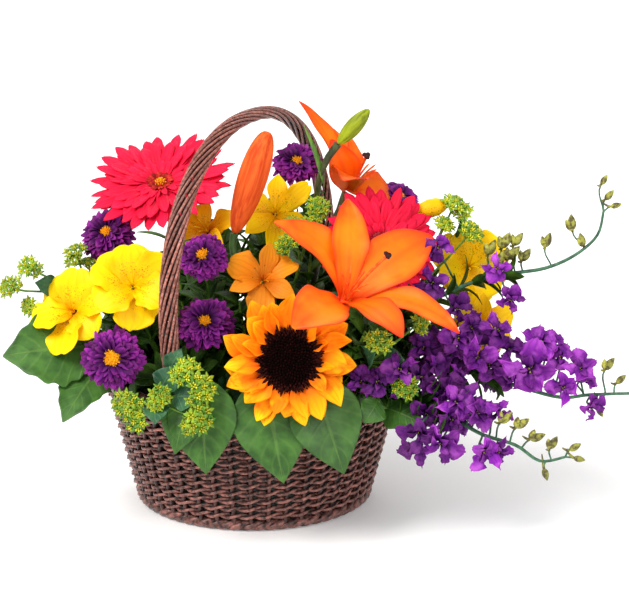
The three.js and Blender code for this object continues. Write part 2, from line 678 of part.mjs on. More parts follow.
addMesh('aster_stem_middle', fuse(forkedStem({
  fork: V(-30, -56, 128), radius: 2, entry: spot(-26, -52), ends: asterEnds.middle,
})), GREEN, 0.7);
addMesh('aster_stem_top', fuse(forkedStem({
  fork: V(46, 32, 150), radius: 2, entry: spot(36, 26), ends: asterEnds.top,
})), GREEN, 0.7);

// larkspur: an arching spike with open florets low down and buds at its end
function larkspurSpike(name, { line, entry, florets, buds, radius = 2 }) {
  const points = line.map(([x, y, z]) => V(x, y, z));
  const foot = footOf(entry, radius);
  const lead = points[1].clone().sub(points[0]).normalize();
  const climb = bend(foot.high, foot.up, points[0], lead, 3);
  const spine = new THREE.CatmullRomCurve3(points);
  const path = [foot.low, foot.entry, ...climb, ...spine.getPoints(points.length + 2).slice(1)];
  const radii = path.map((_, i) => Math.max(radius * (1 - 0.5 * Math.max(i - 4, 0) / (path.length - 4)), 1));
  const parts = [tube(path, radii, 4)];
  const nearest = (place) => {
    let best = points[0];
    for (const point of spine.getPoints(40)) {
      if (point.distanceTo(place) < best.distanceTo(place)) best = point;
    }
    return best;
  };
  florets.forEach(([x, y, z, reach], i) => {
    const at = V(x, y, z);
    const from = nearest(at);
    const outward = at.clone().sub(from).normalize().add(V(0.25, -0.9, 0.1)).normalize();
    const frame = frameAt(at, outward);
    parts.push(tube([from, AHEAD(at, frame.out, 0.2)], [0.9, 1.6], 4));
    parts.push(corolla(frame, {
      count: 5, reach, notch: 0.34, outline: ROUNDED, low: 0, tilt: 0.22, thick: 3.6, turn: 0.6 + i,
    }));
  });
  buds.forEach(([x, y, z, length]) => {
    const tip = V(x, y, z);
    const from = nearest(tip);
    const axis = tip.clone().sub(from).normalize();
    parts.push(tube([from, AHEAD(tip, axis, -0.6 * length), tip], [0.8, 0.27 * length, 0.5], 4));
  });
  addMesh(name, fuse(parts), '#5a2f9e', 0.65);
}
larkspurSpike('larkspur_upper', {
  entry: spot(62, -40),
  line: [
    [118, -46, 158], [162, -46, 179], [190, -42, 185], [218, -40, 189],
    [240, -40, 199], [256, -40, 214], [260, -40, 232],
  ],
  florets: [
    [136, -78, 214, 13], [132, -88, 190, 14], [186, -64, 170, 14], [184, -60, 192, 12], [152, -74, 170, 14],
  ],
  buds: [
    [174, -45, 206, 13], [200, -42, 200, 12], [216, -40, 210, 12], [234, -40, 222, 13], [243, -40, 209, 11],
    [261, -40, 245, 10], [257, -40, 256, 9], [268, -40, 238, 9],
  ],
});
larkspurSpike('larkspur_middle', {
  entry: spot(66, -56),
  line: [
    [122, -70, 124], [162, -62, 115], [200, -60, 103], [230, -60, 95],
    [252, -60, 97], [281, -60, 98], [302, -60, 98],
  ],
  florets: [
    [150, -82, 146, 14], [166, -80, 132, 14], [180, -66, 148, 15], [204, -84, 124, 20], [214, -62, 134, 14],
    [230, -72, 106, 14], [244, -64, 117, 13], [252, -66, 90, 12],
  ],
  buds: [[262, -62, 122, 12], [272, -60, 110, 10], [258, -60, 84, 10], [304, -60, 101, 7]],
});
larkspurSpike('larkspur_lower', {
  entry: spot(56, -66),
  line: [
    [104, -100, 112], [126, -106, 106], [148, -112, 95], [168, -115, 84],
    [192, -115, 76], [210, -115, 64], [228, -115, 67],
  ],
  florets: [
    [92, -120, 124, 12], [108, -122, 134, 13], [122, -128, 92, 14], [138, -130, 84, 14], [147, -122, 114, 14],
    [164, -126, 106, 13], [169, -126, 76, 13],
  ],
  buds: [
    [182, -115, 98, 12], [194, -115, 94, 12], [206, -115, 84, 12], [216, -115, 78, 11], [233, -115, 76, 10],
    [212, -115, 54, 10], [238, -115, 66, 9],
  ],
});

// bupleurum: thin branched stems with round leaves and starry yellow-green flowers
function bupleurum(name, { fork, entry, stars, rounds }) {
  const foot = footOf(entry, 1.3);
  const knot = V(...fork);
  const lean = knot.clone().sub(foot.high).normalize();
  const parts = [tube([foot.low, foot.entry, ...bend(foot.high, foot.up, knot, lean, 3)], 1.3, 4)];
  stars.forEach(([x, y, z, reach], i) => {
    const at = V(x, y, z);
    const outward = at.clone().sub(knot).normalize().add(V(0, -0.8, 0.4)).normalize();
    const frame = frameAt(at, outward);
    const away = at.clone().sub(knot).normalize();
    const leaving = lean.clone().lerp(away, 0.5);
    const stalk = bend(AHEAD(knot, lean, -2), leaving, AHEAD(at, frame.out, 0.3), frame.out, 2);
    parts.push(tube(stalk, [0.9, 0.9, 1.6], 4));
    parts.push(corolla(frame, { count: 5, reach, notch: 0.36, low: 0, tilt: 0.35, thick: 3, turn: i }));
  });
  rounds.forEach(([x, y, z, reach]) => {
    const at = V(x, y, z);
    const away = at.clone().sub(knot).normalize();
    const root = AHEAD(at, away, -reach);
    parts.push(tube([AHEAD(knot, lean, -1), AHEAD(root, away, 3)], 0.9, 4));
    parts.push(blade({
      root,
      tip: AHEAD(at, away, reach),
      face: V(0.1, -0.85, 0.5),
      width: 1.7 * reach,
      thick: 1.5,
      rings: 2,
      blunt: 0.6,
      cup: 1,
    }));
  });
  addMesh(name, fuse(parts), '#8db52f', 0.65);
}
bupleurum('bupleurum_left', {
  fork: [-118, -46, 166],
  entry: spot(-74, -2),
  stars: [
    [-177, -66, 181, 9], [-163, -62, 196, 9], [-152, -72, 160, 8], [-131, -32, 200, 10], [-122, -26, 190, 9],
  ],
  rounds: [[-150, -52, 178, 9]],
});
bupleurum('bupleurum_front', {
  fork: [-67, -120, 112],
  entry: spot(-58, -56),
  stars: [
    [-88, -132, 113, 11], [-80, -135, 101, 10], [-42, -134, 138, 11],
    [-32, -138, 126, 12], [-34, -146, 106, 12], [-62, -136, 120, 10],
  ],
  rounds: [[-66, -136, 106, 9]],
});
bupleurum('bupleurum_top', {
  fork: [36, -34, 190],
  entry: spot(14, -30),
  stars: [[50, -40, 236, 10], [42, -44, 222, 9], [26, -56, 210, 9], [30, -48, 222, 8]],
  rounds: [[30, -66, 202, 8]],
});
bupleurum('bupleurum_right', {
  fork: [112, -30, 160],
  entry: spot(58, 8),
  stars: [[152, -14, 232, 11], [163, -30, 214, 11], [144, -22, 218, 9]],
  rounds: [[134, -28, 200, 9]],
});

const LEAF_THICK = 2.8;

// leafy stems laid round the rim and behind the flowers
function leafyStem(name, { entry, line, leaves, color = DARK_GREEN }) {
  const foot = footOf(entry, 1.6);
  const points = line.map(([x, y, z]) => V(x, y, z));
  const lead = points[0].clone().sub(foot.high).normalize();
  const path = [foot.low, foot.entry, ...bend(foot.high, foot.up, points[0], lead, 3), ...points.slice(1)];
  const parts = [tube(path, 1.6, 4)];
  leaves.forEach(([base, tip, width, face]) => {
    const root = V(...base);
    const end = V(...tip);
    const along = end.clone().sub(root).normalize();
    let joint = points[0];
    for (const point of path) if (point.distanceTo(root) < joint.distanceTo(root)) joint = point;
    parts.push(tube([joint, AHEAD(root, along, 4)], 1.2, 4));
    parts.push(blade({
      root,
      tip: end,
      face: V(...face),
      width,
      thick: LEAF_THICK,
      rings: 4,
      arch: 3,
      cup: 2,
      wave: 1.3,
      waves: 2,
      widest: 0.42,
      blunt: 1,
    }));
  });
  addMesh(name, fuse(parts), color, 0.5);
}
leafyStem('leaves_left', {
  entry: spot(-72, -30),
  line: [[-104, -62, 128], [-112, -72, 130]],
  leaves: [
    [[-116, -76, 138], [-178, -92, 134], 42, [0, -0.8, 0.6]],
    [[-110, -78, 124], [-132, -124, 97], 24, [-0.3, -0.85, 0.45]],
    [[-114, -66, 130], [-168, -54, 142], 28, [0, -0.5, 0.8]],
    [[-100, -54, 122], [-124, 12, 126], 32, [0.2, -0.5, 0.8]],
  ],
});
leafyStem('leaves_front_left', {
  entry: spot(-14, -74),
  line: [[-20, -112, 112], [-24, -122, 112]],
  leaves: [
    [[-34, -124, 112], [-30, -138, 64], 30, [0, -0.98, 0.2]],
    [[-42, -122, 112], [-50, -138, 78], 24, [-0.3, -0.95, 0.2]],
  ],
});
leafyStem('leaves_front_middle', {
  entry: spot(4, -78),
  line: [[10, -110, 108], [14, -120, 110]],
  leaves: [
    [[12, -124, 112], [25, -140, 58], 34, [0, -0.98, 0.2]],
    [[52, -124, 114], [67, -138, 64], 32, [0.2, -0.97, 0.2]],
  ],
});
leafyStem('leaves_right', {
  entry: spot(42, -70),
  line: [[84, -98, 108], [92, -108, 110]],
  leaves: [
    [[92, -116, 110], [82, -126, 96], 14, [0.2, -0.97, 0.2]],
    [[98, -102, 100], [125, -119, 93], 20, [0.3, -0.85, 0.5]],
  ],
});
leafyStem('leaves_back', {
  entry: spot(-6, 58),
  line: [[-7, 64, 122], [-8, 68, 152]],
  leaves: [
    [[-12, 68, 152], [-70, 72, 206], 44, [-0.2, -0.8, 0.5]],
    [[-4, 68, 152], [46, 78, 208], 42, [0.2, -0.8, 0.5]],
    [[-12, 68, 138], [-96, 60, 164], 42, [-0.2, -0.7, 0.6]],
    [[-4, 67, 136], [86, 70, 164], 40, [0.2, -0.7, 0.6]],
    [[-10, 66, 126], [-72, 94, 118], 42, [-0.2, 0.5, 0.8]],
    [[-4, 66, 126], [76, 84, 116], 38, [0.2, 0.5, 0.8]],
    [[-8, 70, 130], [-8, 124, 120], 42, [0, 0.5, 0.8]],
    [[-10, 62, 118], [-66, 34, 112], 34, [-0.1, -0.2, 0.95]],
    [[-4, 60, 116], [16, 12, 116], 26, [0.1, -0.2, 0.95]],
  ],
});

// wet foam that fills the liner, with a plain hole for each stem
const foamLow = linerFloor + LINER_THICK + SEAT;
const foamSide = (z) => {
  const share = (z - linerFloor) / (LINER_TOP - linerFloor);
  return linerLow + (linerHigh - linerLow) * share - LINER_THICK - SEAT - 0.2;
};
const domeSteps = 3;
const domeRadius = foamSide(FOAM_RIM - 4);
const dome = Array.from({ length: domeSteps + 1 }, (_, i) => {
  const radius = domeRadius * (1 - i / domeSteps);
  return [radius, foamHeight(radius, 0) - (i === 0 ? 3 : 0)];
});
const foamBlock = turned([[0, foamLow], [foamSide(foamLow), foamLow], ...dome], 24);
const drills = holes.map(({ low, high, radius }) => tube([low, high], radius / Math.cos(Math.PI / 5), 5));
addMesh('floral_foam', fuse([foamBlock.subtract(Manifold.union(drills))]), '#2e6b3a', 0.9);

export default group;
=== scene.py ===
"""Flower basket arrangement: woven basket, arched handle, foam and mixed cut flowers."""
import math
import random

import bmesh
import bpy
from mathutils import Matrix, Vector


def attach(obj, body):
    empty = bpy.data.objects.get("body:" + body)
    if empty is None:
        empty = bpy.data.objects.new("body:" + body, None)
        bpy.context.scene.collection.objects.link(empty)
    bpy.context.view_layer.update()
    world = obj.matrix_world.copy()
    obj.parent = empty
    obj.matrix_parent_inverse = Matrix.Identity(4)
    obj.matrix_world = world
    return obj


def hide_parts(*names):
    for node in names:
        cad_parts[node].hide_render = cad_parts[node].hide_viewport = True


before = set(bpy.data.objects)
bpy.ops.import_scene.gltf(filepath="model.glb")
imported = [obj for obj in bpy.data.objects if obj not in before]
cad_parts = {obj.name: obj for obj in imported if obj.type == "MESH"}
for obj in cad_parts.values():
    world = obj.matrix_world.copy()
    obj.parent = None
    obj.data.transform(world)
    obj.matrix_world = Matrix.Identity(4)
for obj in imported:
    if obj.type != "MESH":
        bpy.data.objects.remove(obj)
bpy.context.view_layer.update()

MM = 0.001
TURN = 2 * math.pi
UP = Vector((0, 0, 1))


def V(x, y, z):
    return Vector((x, y, z)) * MM


def added(name, data):
    piece = bpy.data.objects.new(name, data)
    bpy.context.collection.objects.link(piece)
    return piece


# camera at the photograph's angle
CAMERA_DISTANCE = 1600 * MM
CAMERA_ELEVATION = math.radians(14.6)
CAMERA_LOOKS_AT = V(47, 0, 154.2)
CAMERA_STARTS_AT = 50 * MM
PICTURE_WIDTH = 629
PIXEL_SIZE = 0.765 * MM
SENSOR = 36.0


def set_camera():
    data = bpy.data.cameras.new("camera")
    camera = added("camera", data)
    back = Vector((0, -math.cos(CAMERA_ELEVATION), math.sin(CAMERA_ELEVATION)))
    camera.location = CAMERA_LOOKS_AT + back * CAMERA_DISTANCE
    camera.rotation_euler = (math.pi / 2 - CAMERA_ELEVATION, 0, 0)
    data.sensor_fit = "HORIZONTAL"
    data.sensor_width = SENSOR
    data.lens = SENSOR * CAMERA_DISTANCE / (PIXEL_SIZE * PICTURE_WIDTH)
    data.clip_start = CAMERA_STARTS_AT
    bpy.context.scene.camera = camera


# white studio: soft light from all round, a broad key light from the upper left and two weak lamps
AMBIENT = 0.66
KEY_FROM = Vector((-1.0, -0.85, 1.45))
KEY_POWER = 2.9
KEY_ANGLE = math.radians(32)
KEY_COLOUR = (1.0, 0.985, 0.96)
LAMPS = (  # name, place, size, power, colour
    ("fill", (1.2, -1.9, 0.9), 1.2, 12, (0.97, 0.98, 1.0)),
    ("back", (0.3, 1.6, 1.6), 1.0, 9, (1.0, 1.0, 1.0)),
)


def point_along(light, way):
    light.rotation_euler = way.to_track_quat("-Z", "Y").to_euler()


def set_light():
    bpy.context.scene.view_settings.view_transform = "Standard"
    world = bpy.data.worlds.new("studio")
    bpy.context.scene.world = world
    world.use_nodes = True
    tree = world.node_tree
    backdrop = tree.nodes["Background"].inputs
    backdrop["Color"].default_value = (1, 1, 1, 1)
    seen = put(tree, "LightPath").outputs["Is Camera Ray"]
    tree.links.new(spanned(tree, seen, 0, 1, AMBIENT, 1), backdrop["Strength"])
    sun = bpy.data.lights.new("key", "SUN")
    sun.energy, sun.angle, sun.color = KEY_POWER, KEY_ANGLE, KEY_COLOUR
    point_along(added("key", sun), -KEY_FROM)
    for name, place, size, power, colour in LAMPS:
        data = bpy.data.lights.new(name, "AREA")
        data.shape = "DISK"
        data.size, data.energy, data.color = size, power, colour
        lamp = added(name, data)
        lamp.location = place
        point_along(lamp, CAMERA_LOOKS_AT - lamp.location)


# picking and shaping

CLOSE = 1e-3
SMOOTH_UNDER = math.radians(80)
models = []


def model(piece):
    """Keeps a shape that is only copied from, to be removed at the end."""
    models.append(piece)
    return piece


def clear_selection():
    bpy.ops.object.select_all(action="DESELECT")


def take(piece):
    """Selects this piece alone and makes it the active one."""
    clear_selection()
    piece.select_set(True)
    bpy.context.view_layer.objects.active = piece


def started(name):
    """The new primitive, named, with its place and size in its mesh."""
    piece = bpy.context.object
    piece.name = name
    take(piece)
    bpy.ops.object.transform_apply(location=True, rotation=True, scale=True)
    return piece


def edit(piece):
    take(piece)
    bpy.ops.object.mode_set(mode="EDIT")
    bpy.ops.mesh.select_mode(type="VERT")


def leave_edit():
    bpy.ops.object.mode_set(mode="OBJECT")


def pick(piece, test):
    """Selects the vertices whose place passes the test, in edit mode."""
    mesh = bmesh.from_edit_mesh(piece.data)
    for vertex in mesh.verts:
        vertex.select = test(vertex.co)
    mesh.select_flush_mode()
    bmesh.update_edit_mesh(piece.data)


def move(step):
    bpy.ops.transform.translate(value=step)


def resize(size, middle=(0, 0, 0)):
    bpy.ops.transform.resize(value=size, center_override=middle)


def resize_all(size):
    bpy.ops.mesh.select_all(action="SELECT")
    resize(size)


def finish_with(piece, kind, **settings):
    modifier = piece.modifiers.new(kind.lower(), kind)
    for key, value in settings.items():
        setattr(modifier, key, value)
    bpy.context.view_layer.objects.active = piece
    bpy.ops.object.modifier_apply(modifier=modifier.name)


def smooth(piece):
    take(piece)
    bpy.ops.object.shade_smooth_by_angle(angle=SMOOTH_UNDER)
    return piece


def smooth_all(piece):
    piece.data.polygons.foreach_set("use_smooth", [True] * len(piece.data.polygons))
    return piece


def give_tone(piece, tone):
    """A light or dark share for the piece, which its finish reads: its own colour on most pieces, painted
    shade on some.
    """
    layer = piece.data.attributes.new("tone", "FLOAT", "POINT")
    layer.data.foreach_set("value", [tone] * len(piece.data.vertices))
    return piece


def moved_copy(source, matrix):
    mesh = source.data.copy()
    mesh.transform(matrix)
    return added(source.name + "_copy", mesh)


def copy_of(source, matrix, tone=0.5, widen=1.0):
    return give_tone(moved_copy(source, matrix @ Matrix.Diagonal((1, widen, 1, 1))), tone)


def retoned(source, matrix, shift, rng, painted_shade=0.0):
    """A copy that keeps its petals' own tones and moves them all a little, and darkens them all as painted
    shade when asked.
    """
    piece = moved_copy(source, matrix)
    layer = piece.data.attributes["tone"]
    values = [0.0] * len(piece.data.vertices)
    layer.data.foreach_get("value", values)
    step = rng.uniform(-shift, shift) - painted_shade
    layer.data.foreach_set("value", [min(max(value + step, 0.0), 1.0) for value in values])
    return piece


def laid(blade, root, tip, face, tone, widen=1.0):
    """A copy of a blade that lies from root to tip with its face toward face."""
    along = tip - root
    stretch = along.length / (blade["length"] * MM)
    along.normalize()
    side = face.cross(along).normalized()
    turn = Matrix((along * stretch, side, along.cross(side))).transposed().to_4x4()
    return copy_of(blade, Matrix.Translation(root) @ turn, tone, widen)


def join(name, pieces):
    clear_selection()
    for piece in pieces:
        piece.select_set(True)
    bpy.context.view_layer.objects.active = pieces[0]
    if len(pieces) > 1:
        bpy.ops.object.join()
    pieces[0].name = name
    pieces[0].data.name = name
    return pieces[0]


def dress(piece, material):
    piece.data.materials.clear()
    piece.data.materials.append(material)
    return piece


def joined(name, *groups):
    """Joins each group of pieces, gives it its finish, and joins the groups."""
    return join(name, [dress(join(name, pieces), finish) for pieces, finish in groups])


def stand_for(piece, slot, *nodes):
    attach(piece, "root")
    if nodes:
        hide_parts(*nodes)


def rod(points, radii, sides=8, close=False, tone=0.5):
    """A round rod through the points, drawn as a bevelled path and made a mesh."""
    data = bpy.data.curves.new("rod", "CURVE")
    data.dimensions = "3D"
    data.bevel_depth = 1.0
    data.bevel_resolution = max(sides // 2 - 2, 0)
    data.use_fill_caps = not close
    data.twist_mode = "MINIMUM"
    path = data.splines.new("POLY")
    path.points.add(len(points) - 1)
    path.use_cyclic_u = close
    if not isinstance(radii, list):
        radii = [radii] * len(points)
    for spot, point, radius in zip(path.points, points, radii):
        spot.co = (*point, 1)
        spot.radius = radius * MM
    take(added("rod", data))
    bpy.ops.object.convert(target="MESH")
    return give_tone(smooth_all(bpy.context.object), tone)


def bend(start, leaving, end, arriving, steps=8, pull=0.36):
    """A curve that leaves and arrives in the given ways."""
    reach = (end - start).length * pull
    a, b = start + leaving * reach, end - arriving * reach
    points = []
    for i in range(steps + 1):
        t = i / steps
        s = 1 - t
        points.append(start * s ** 3 + a * 3 * s * s * t + b * 3 * s * t * t + end * t ** 3)
    return points


def through(points, steps=6):
    """A smooth line through the points."""
    line = []
    for i, (a, b) in enumerate(zip(points, points[1:])):
        before, after = points[max(i - 1, 0)], points[min(i + 2, len(points) - 1)]
        for k in range(steps):
            t = k / steps
            line.append(0.5 * ((2 * a) + (b - before) * t + (2 * before - 5 * a + 4 * b - after) * t * t
                               + (3 * a - before - 3 * b + after) * t ** 3))
    return line + [points[-1].copy()]


def nearest_on(line, place):
    return min(line, key=lambda point: (point - place).length)


# shader steps that the finishes share

def linear(code):
    channels = [int(code[i:i + 2], 16) / 255 for i in (1, 3, 5)]
    return (*[c / 12.92 if c <= 0.04045 else ((c + 0.055) / 1.055) ** 2.4 for c in channels], 1)


def feed(tree, socket, value):
    """Links a result to a socket, or sets a plain value or colour on it."""
    if isinstance(value, bpy.types.NodeSocket):
        tree.links.new(value, socket)
    else:
        socket.default_value = linear(value) if isinstance(value, str) else value


def put(tree, kind, feeds=None, **settings):
    made = tree.nodes.new("ShaderNode" + kind)
    for key, value in settings.items():
        setattr(made, key, value)
    for socket, value in (feeds or {}).items():
        feed(tree, made.inputs[socket], value)
    return made


def calc(tree, kind, *values, clamp=False):
    return put(tree, "Math", dict(enumerate(values)), operation=kind, use_clamp=clamp).outputs[0]


def spanned(tree, value, start, end, first=0.0, last=1.0):
    """The value's place between start and end, as a number from first to last."""
    feeds = {"Value": value, "From Min": start, "From Max": end, "To Min": first, "To Max": last}
    return put(tree, "MapRange", feeds).outputs["Result"]


def noise(tree, place, scale, detail, rough=0.5):
    feeds = {"Vector": place, "Scale": scale, "Detail": detail, "Roughness": rough}
    return put(tree, "TexNoise", feeds).outputs["Fac"]


def ridges(tree, phase, sharp):
    """Even ridges from 0 to 1, narrower the sharper they are."""
    wavelet = calc(tree, "MULTIPLY_ADD", calc(tree, "COSINE", phase), 0.5, 0.5)
    return calc(tree, "POWER", wavelet, sharp)


def off_midrib(tree, across):
    """How far a spot lies from a blade's midrib: 0 on it and 0.5 at the edge."""
    return calc(tree, "ABSOLUTE", calc(tree, "SUBTRACT", across, 0.5))


def ramp(tree, source, stops):
    made = put(tree, "ValToRGB", {"Fac": source})
    elements = made.color_ramp.elements
    while len(elements) < len(stops):
        elements.new(0.5)
    for element, (place, code) in zip(elements, stops):
        element.position, element.color = place, linear(code)
    return made.outputs["Color"]


def mixed(tree, share, first, second):
    return put(tree, "Mix", {"Factor": share, 6: first, 7: second}, data_type="RGBA").outputs[2]


def new_group(name, inputs, outputs):
    """A node group: an input without a value is a place, and everything else is a number."""
    tree = bpy.data.node_groups.new(name, "ShaderNodeTree")
    for label, value in inputs.items():
        kind = "NodeSocketVector" if value is None else "NodeSocketFloat"
        socket = tree.interface.new_socket(label, in_out="INPUT", socket_type=kind)
        if value is not None:
            socket.default_value = value
    for label in outputs:
        tree.interface.new_socket(label, in_out="OUTPUT", socket_type="NodeSocketFloat")
    return tree, tree.nodes.new("NodeGroupInput").outputs, tree.nodes.new("NodeGroupOutput").inputs


def petal_surface_group():
    """Share of the way along a petal, its fine veins, their relief and a soft mottling."""
    inputs = {"Laid": None, "Place": None, "Veins": 14.0, "Grain": 300.0}
    tree, given, out = new_group("petal_surface", inputs, ("Along", "Vein", "Relief", "Mottle"))
    laid_out = put(tree, "SeparateXYZ", {0: given["Laid"]}).outputs
    blotch = noise(tree, given["Place"], given["Grain"], 3.0)
    sway = calc(tree, "MULTIPLY", calc(tree, "SUBTRACT", blotch, 0.5), 0.14)
    along = calc(tree, "ADD", laid_out["X"], sway, clamp=True)
    across = calc(tree, "MULTIPLY_ADD", sway, 0.3, calc(tree, "SUBTRACT", laid_out["Y"], 0.5))
    phase = calc(tree, "MULTIPLY", across, calc(tree, "MULTIPLY", given["Veins"], TURN))
    vein = ridges(tree, phase, 2.5)
    relief = calc(tree, "MULTIPLY_ADD", noise(tree, given["Place"], 2600.0, 2.0), 0.3, vein)
    for socket, result in zip(out, (along, vein, relief, blotch)):
        tree.links.new(result, socket)
    return tree


def fibre_group():
    """Long streaks and small pits for rods, stems and dry surfaces."""
    tree, given, out = new_group("fibre", {"Place": None, "Streak": 120.0, "Pit": 900.0},
                                 ("Streaks", "Relief"))
    streaks = noise(tree, given["Place"], given["Streak"], 4.0, 0.6)
    pits = noise(tree, given["Place"], given["Pit"], 3.0)
    tree.links.new(streaks, out["Streaks"])
    tree.links.new(calc(tree, "MULTIPLY_ADD", streaks, 0.6, pits), out["Relief"])
    return tree


PETAL_SURFACE = petal_surface_group()
FIBRE = fibre_group()


def start_material(name, rough, coat=0.0, gloss=0.5):
    material = bpy.data.materials.new(name)
    material.use_nodes = True
    tree = material.node_tree
    shader = tree.nodes["Principled BSDF"].inputs
    settings = {"Roughness": rough, "Coat Weight": coat, "Coat Roughness": 0.3, "Specular IOR Level": gloss}
    for socket, value in settings.items():
        shader[socket].default_value = value
    return material, tree, shader, put(tree, "TexCoord").outputs


def surfaced(tree, shader, colour, spread, relief, bump, depth):
    """Lightens or darkens the colour by the piece's tone, which on some pieces is painted shade, and raises
    the relief.
    """
    tone = put(tree, "Attribute", attribute_name="tone").outputs["Fac"]
    light = spanned(tree, tone, 0, 1, 1 - spread, 1 + spread)
    tree.links.new(put(tree, "HueSaturation", {"Color": colour, "Value": light}).outputs[0],
                   shader["Base Color"])
    height = put(tree, "Bump", {"Height": relief, "Strength": bump, "Distance": depth * MM})
    tree.links.new(height.outputs["Normal"], shader["Normal"])


def freckled(tree, coords, colour, spots):
    """Short dark dashes that run along the middle of a petal."""
    parts = put(tree, "SeparateXYZ", {0: coords["UV"]}).outputs
    dashes = put(tree, "Mapping", {"Vector": coords["UV"], "Scale": (17.0, 34.0, 1.0)}).outputs["Vector"]
    spread = {"Vector": dashes, "Scale": 1.0, "Randomness": 0.85}
    cells = put(tree, "TexVoronoi", spread).outputs["Distance"]
    near, far = spanned(tree, parts["X"], 0.6, 0.5), spanned(tree, parts["X"], 0.12, 0.24)
    middle = spanned(tree, off_midrib(tree, parts["Y"]), 0.36, 0.28)
    kept = calc(tree, "MULTIPLY", calc(tree, "MULTIPLY", near, far), middle)
    return mixed(tree, calc(tree, "MULTIPLY", calc(tree, "LESS_THAN", cells, 0.27), kept), colour, spots)


def petal_finish(name, stops, vein, veins, vein_share=0.35, rough=0.55, grain=60.0, bump=0.35, blush=None,
                 blush_share=0.5, spots=None, edge=None, edge_share=0.8, spread=0.22, gloss=0.14):
    """Colours that change along a petal, with veins, blushes, freckles and an edge of their own."""
    material, tree, shader, coords = start_material(name, rough, gloss=gloss)
    feeds = {"Laid": coords["UV"], "Place": coords["Object"], "Veins": veins, "Grain": grain}
    surface = put(tree, "Group", feeds, node_tree=PETAL_SURFACE).outputs
    colour = ramp(tree, surface["Along"], stops)
    colour = mixed(tree, calc(tree, "MULTIPLY", surface["Vein"], vein_share), colour, vein)
    if blush:
        colour = mixed(tree, spanned(tree, surface["Mottle"], 0.48, 0.66, 0, blush_share), colour, blush)
    if spots:
        colour = freckled(tree, coords, colour, spots)
    if edge:
        across = put(tree, "SeparateXYZ", {0: coords["UV"]}).outputs["Y"]
        margin = spanned(tree, off_midrib(tree, across), 0.36, 0.5, 0, edge_share)
        colour = mixed(tree, margin, colour, edge)
    surfaced(tree, shader, colour, spread, surface["Relief"], bump, 0.6)
    return material


def fibre_finish(name, dark, light, rough=0.5, streak=240.0, pit=900.0, bump=0.3, coat=0.0, stretch=1.0,
                 spread=0.3, low=0.35, high=0.65, gloss=0.4, lean=0.0):
    """Streaks from dark to light, drawn out along a stem or a leaning bud."""
    material, tree, shader, coords = start_material(name, rough, coat, gloss)
    drawn_out = {"Vector": coords["Object"], "Rotation": (0, lean, 0), "Scale": (1, 1, 1 / stretch)}
    place = put(tree, "Mapping", drawn_out, vector_type="TEXTURE").outputs["Vector"]
    fibre = put(tree, "Group", {"Place": place, "Streak": streak, "Pit": pit}, node_tree=FIBRE).outputs
    tree.links.new(spanned(tree, fibre["Streaks"], 0, 1, rough - 0.12, rough + 0.12), shader["Roughness"])
    colour = ramp(tree, fibre["Streaks"], ((low, dark), (high, light)))
    surfaced(tree, shader, colour, spread, fibre["Relief"], bump, 0.5)
    return material


def leaf_finish(name, deep, fresh, vein, rough=0.42, spread=0.25, side_veins=3.0, marked=0.3, coat=0.08,
                gloss=0.3):
    """A leathery leaf: a pale midrib, side veins that run forward from it and a mottled blade."""
    material, tree, shader, coords = start_material(name, rough, coat, gloss)
    parts = put(tree, "SeparateXYZ", {0: coords["UV"]}).outputs
    mottle = noise(tree, coords["Object"], 90.0, 4.0)
    side = off_midrib(tree, parts["Y"])
    forward = calc(tree, "MULTIPLY_ADD", side, -0.5, parts["X"])
    fine = ridges(tree, calc(tree, "MULTIPLY", forward, TURN * side_veins), 9.0)
    midrib = spanned(tree, side, 0.035, 0.012)
    marks = calc(tree, "MAXIMUM", calc(tree, "MULTIPLY", fine, 0.45), midrib)
    colour = ramp(tree, mottle, ((0.36, deep), (0.64, fresh)))
    colour = mixed(tree, calc(tree, "MULTIPLY", marks, marked), colour, vein)
    surfaced(tree, shader, colour, spread, calc(tree, "MULTIPLY_ADD", mottle, 0.4, marks), 0.45, 0.8)
    return material


# finishes

WICKER = fibre_finish("stained_wicker", "#1c0907", "#a86c61", rough=0.36, bump=0.6, coat=0.25, spread=0.7,
                      low=0.36, high=0.7)
HANDLE_WICKER = fibre_finish("stained_handle", "#40180f", "#b07264", rough=0.42, streak=480.0, bump=0.5,
                             coat=0.15, spread=0.85, low=0.3, high=0.64, gloss=0.3)
LINER = fibre_finish("liner_film", "#141f1a", "#22332b", rough=0.4, streak=30.0, bump=0.2, spread=0.0)
FOAM = fibre_finish("wet_foam", "#1d4526", "#3c7a45", rough=0.9, streak=500.0, pit=1800.0, bump=0.8,
                    spread=0.0)
STEM = fibre_finish("green_stem", "#2f5a1c", "#688f34", stretch=0.2)
LILY_STEM = fibre_finish("lily_stem", "#23401a", "#4c7230", stretch=0.2)
BUD_STALK = fibre_finish("bud_stalk", "#1e2614", "#4a5226", stretch=0.2)
GREEN_BUD_SKIN = fibre_finish("green_bud", "#5c6a14", "#98a41e", streak=260.0, bump=0.25, stretch=0.08,
                              gloss=0.15, low=0.38, high=0.58, lean=0.724)
ORANGE_BUD_SKIN = fibre_finish("orange_bud", "#d04418", "#f2682a", rough=0.55, streak=330.0, stretch=0.05,
                               low=0.36, high=0.6, gloss=0.1, lean=0.318)
STIGMA = fibre_finish("dark_stigma", "#1c0508", "#4a1414", rough=0.9, streak=900.0, bump=0.7)
FILAMENT = fibre_finish("filament", "#e04416", "#f07a24", streak=200.0, bump=0.1)
SEED = fibre_finish("sunflower_seed_head", "#070304", "#34120e", rough=0.95, streak=420.0, bump=0.6,
                    spread=0.8, gloss=0.05)
GERBERA_HEART = fibre_finish("gerbera_heart", "#b0142c", "#e8442c", rough=0.75, streak=700.0, bump=0.5,
                             spread=0.6, gloss=0.1)
CRIMSON_HEART = fibre_finish("crimson_heart", "#5a0a18", "#c02a30", rough=0.75, streak=700.0, bump=0.5,
                             spread=0.5)
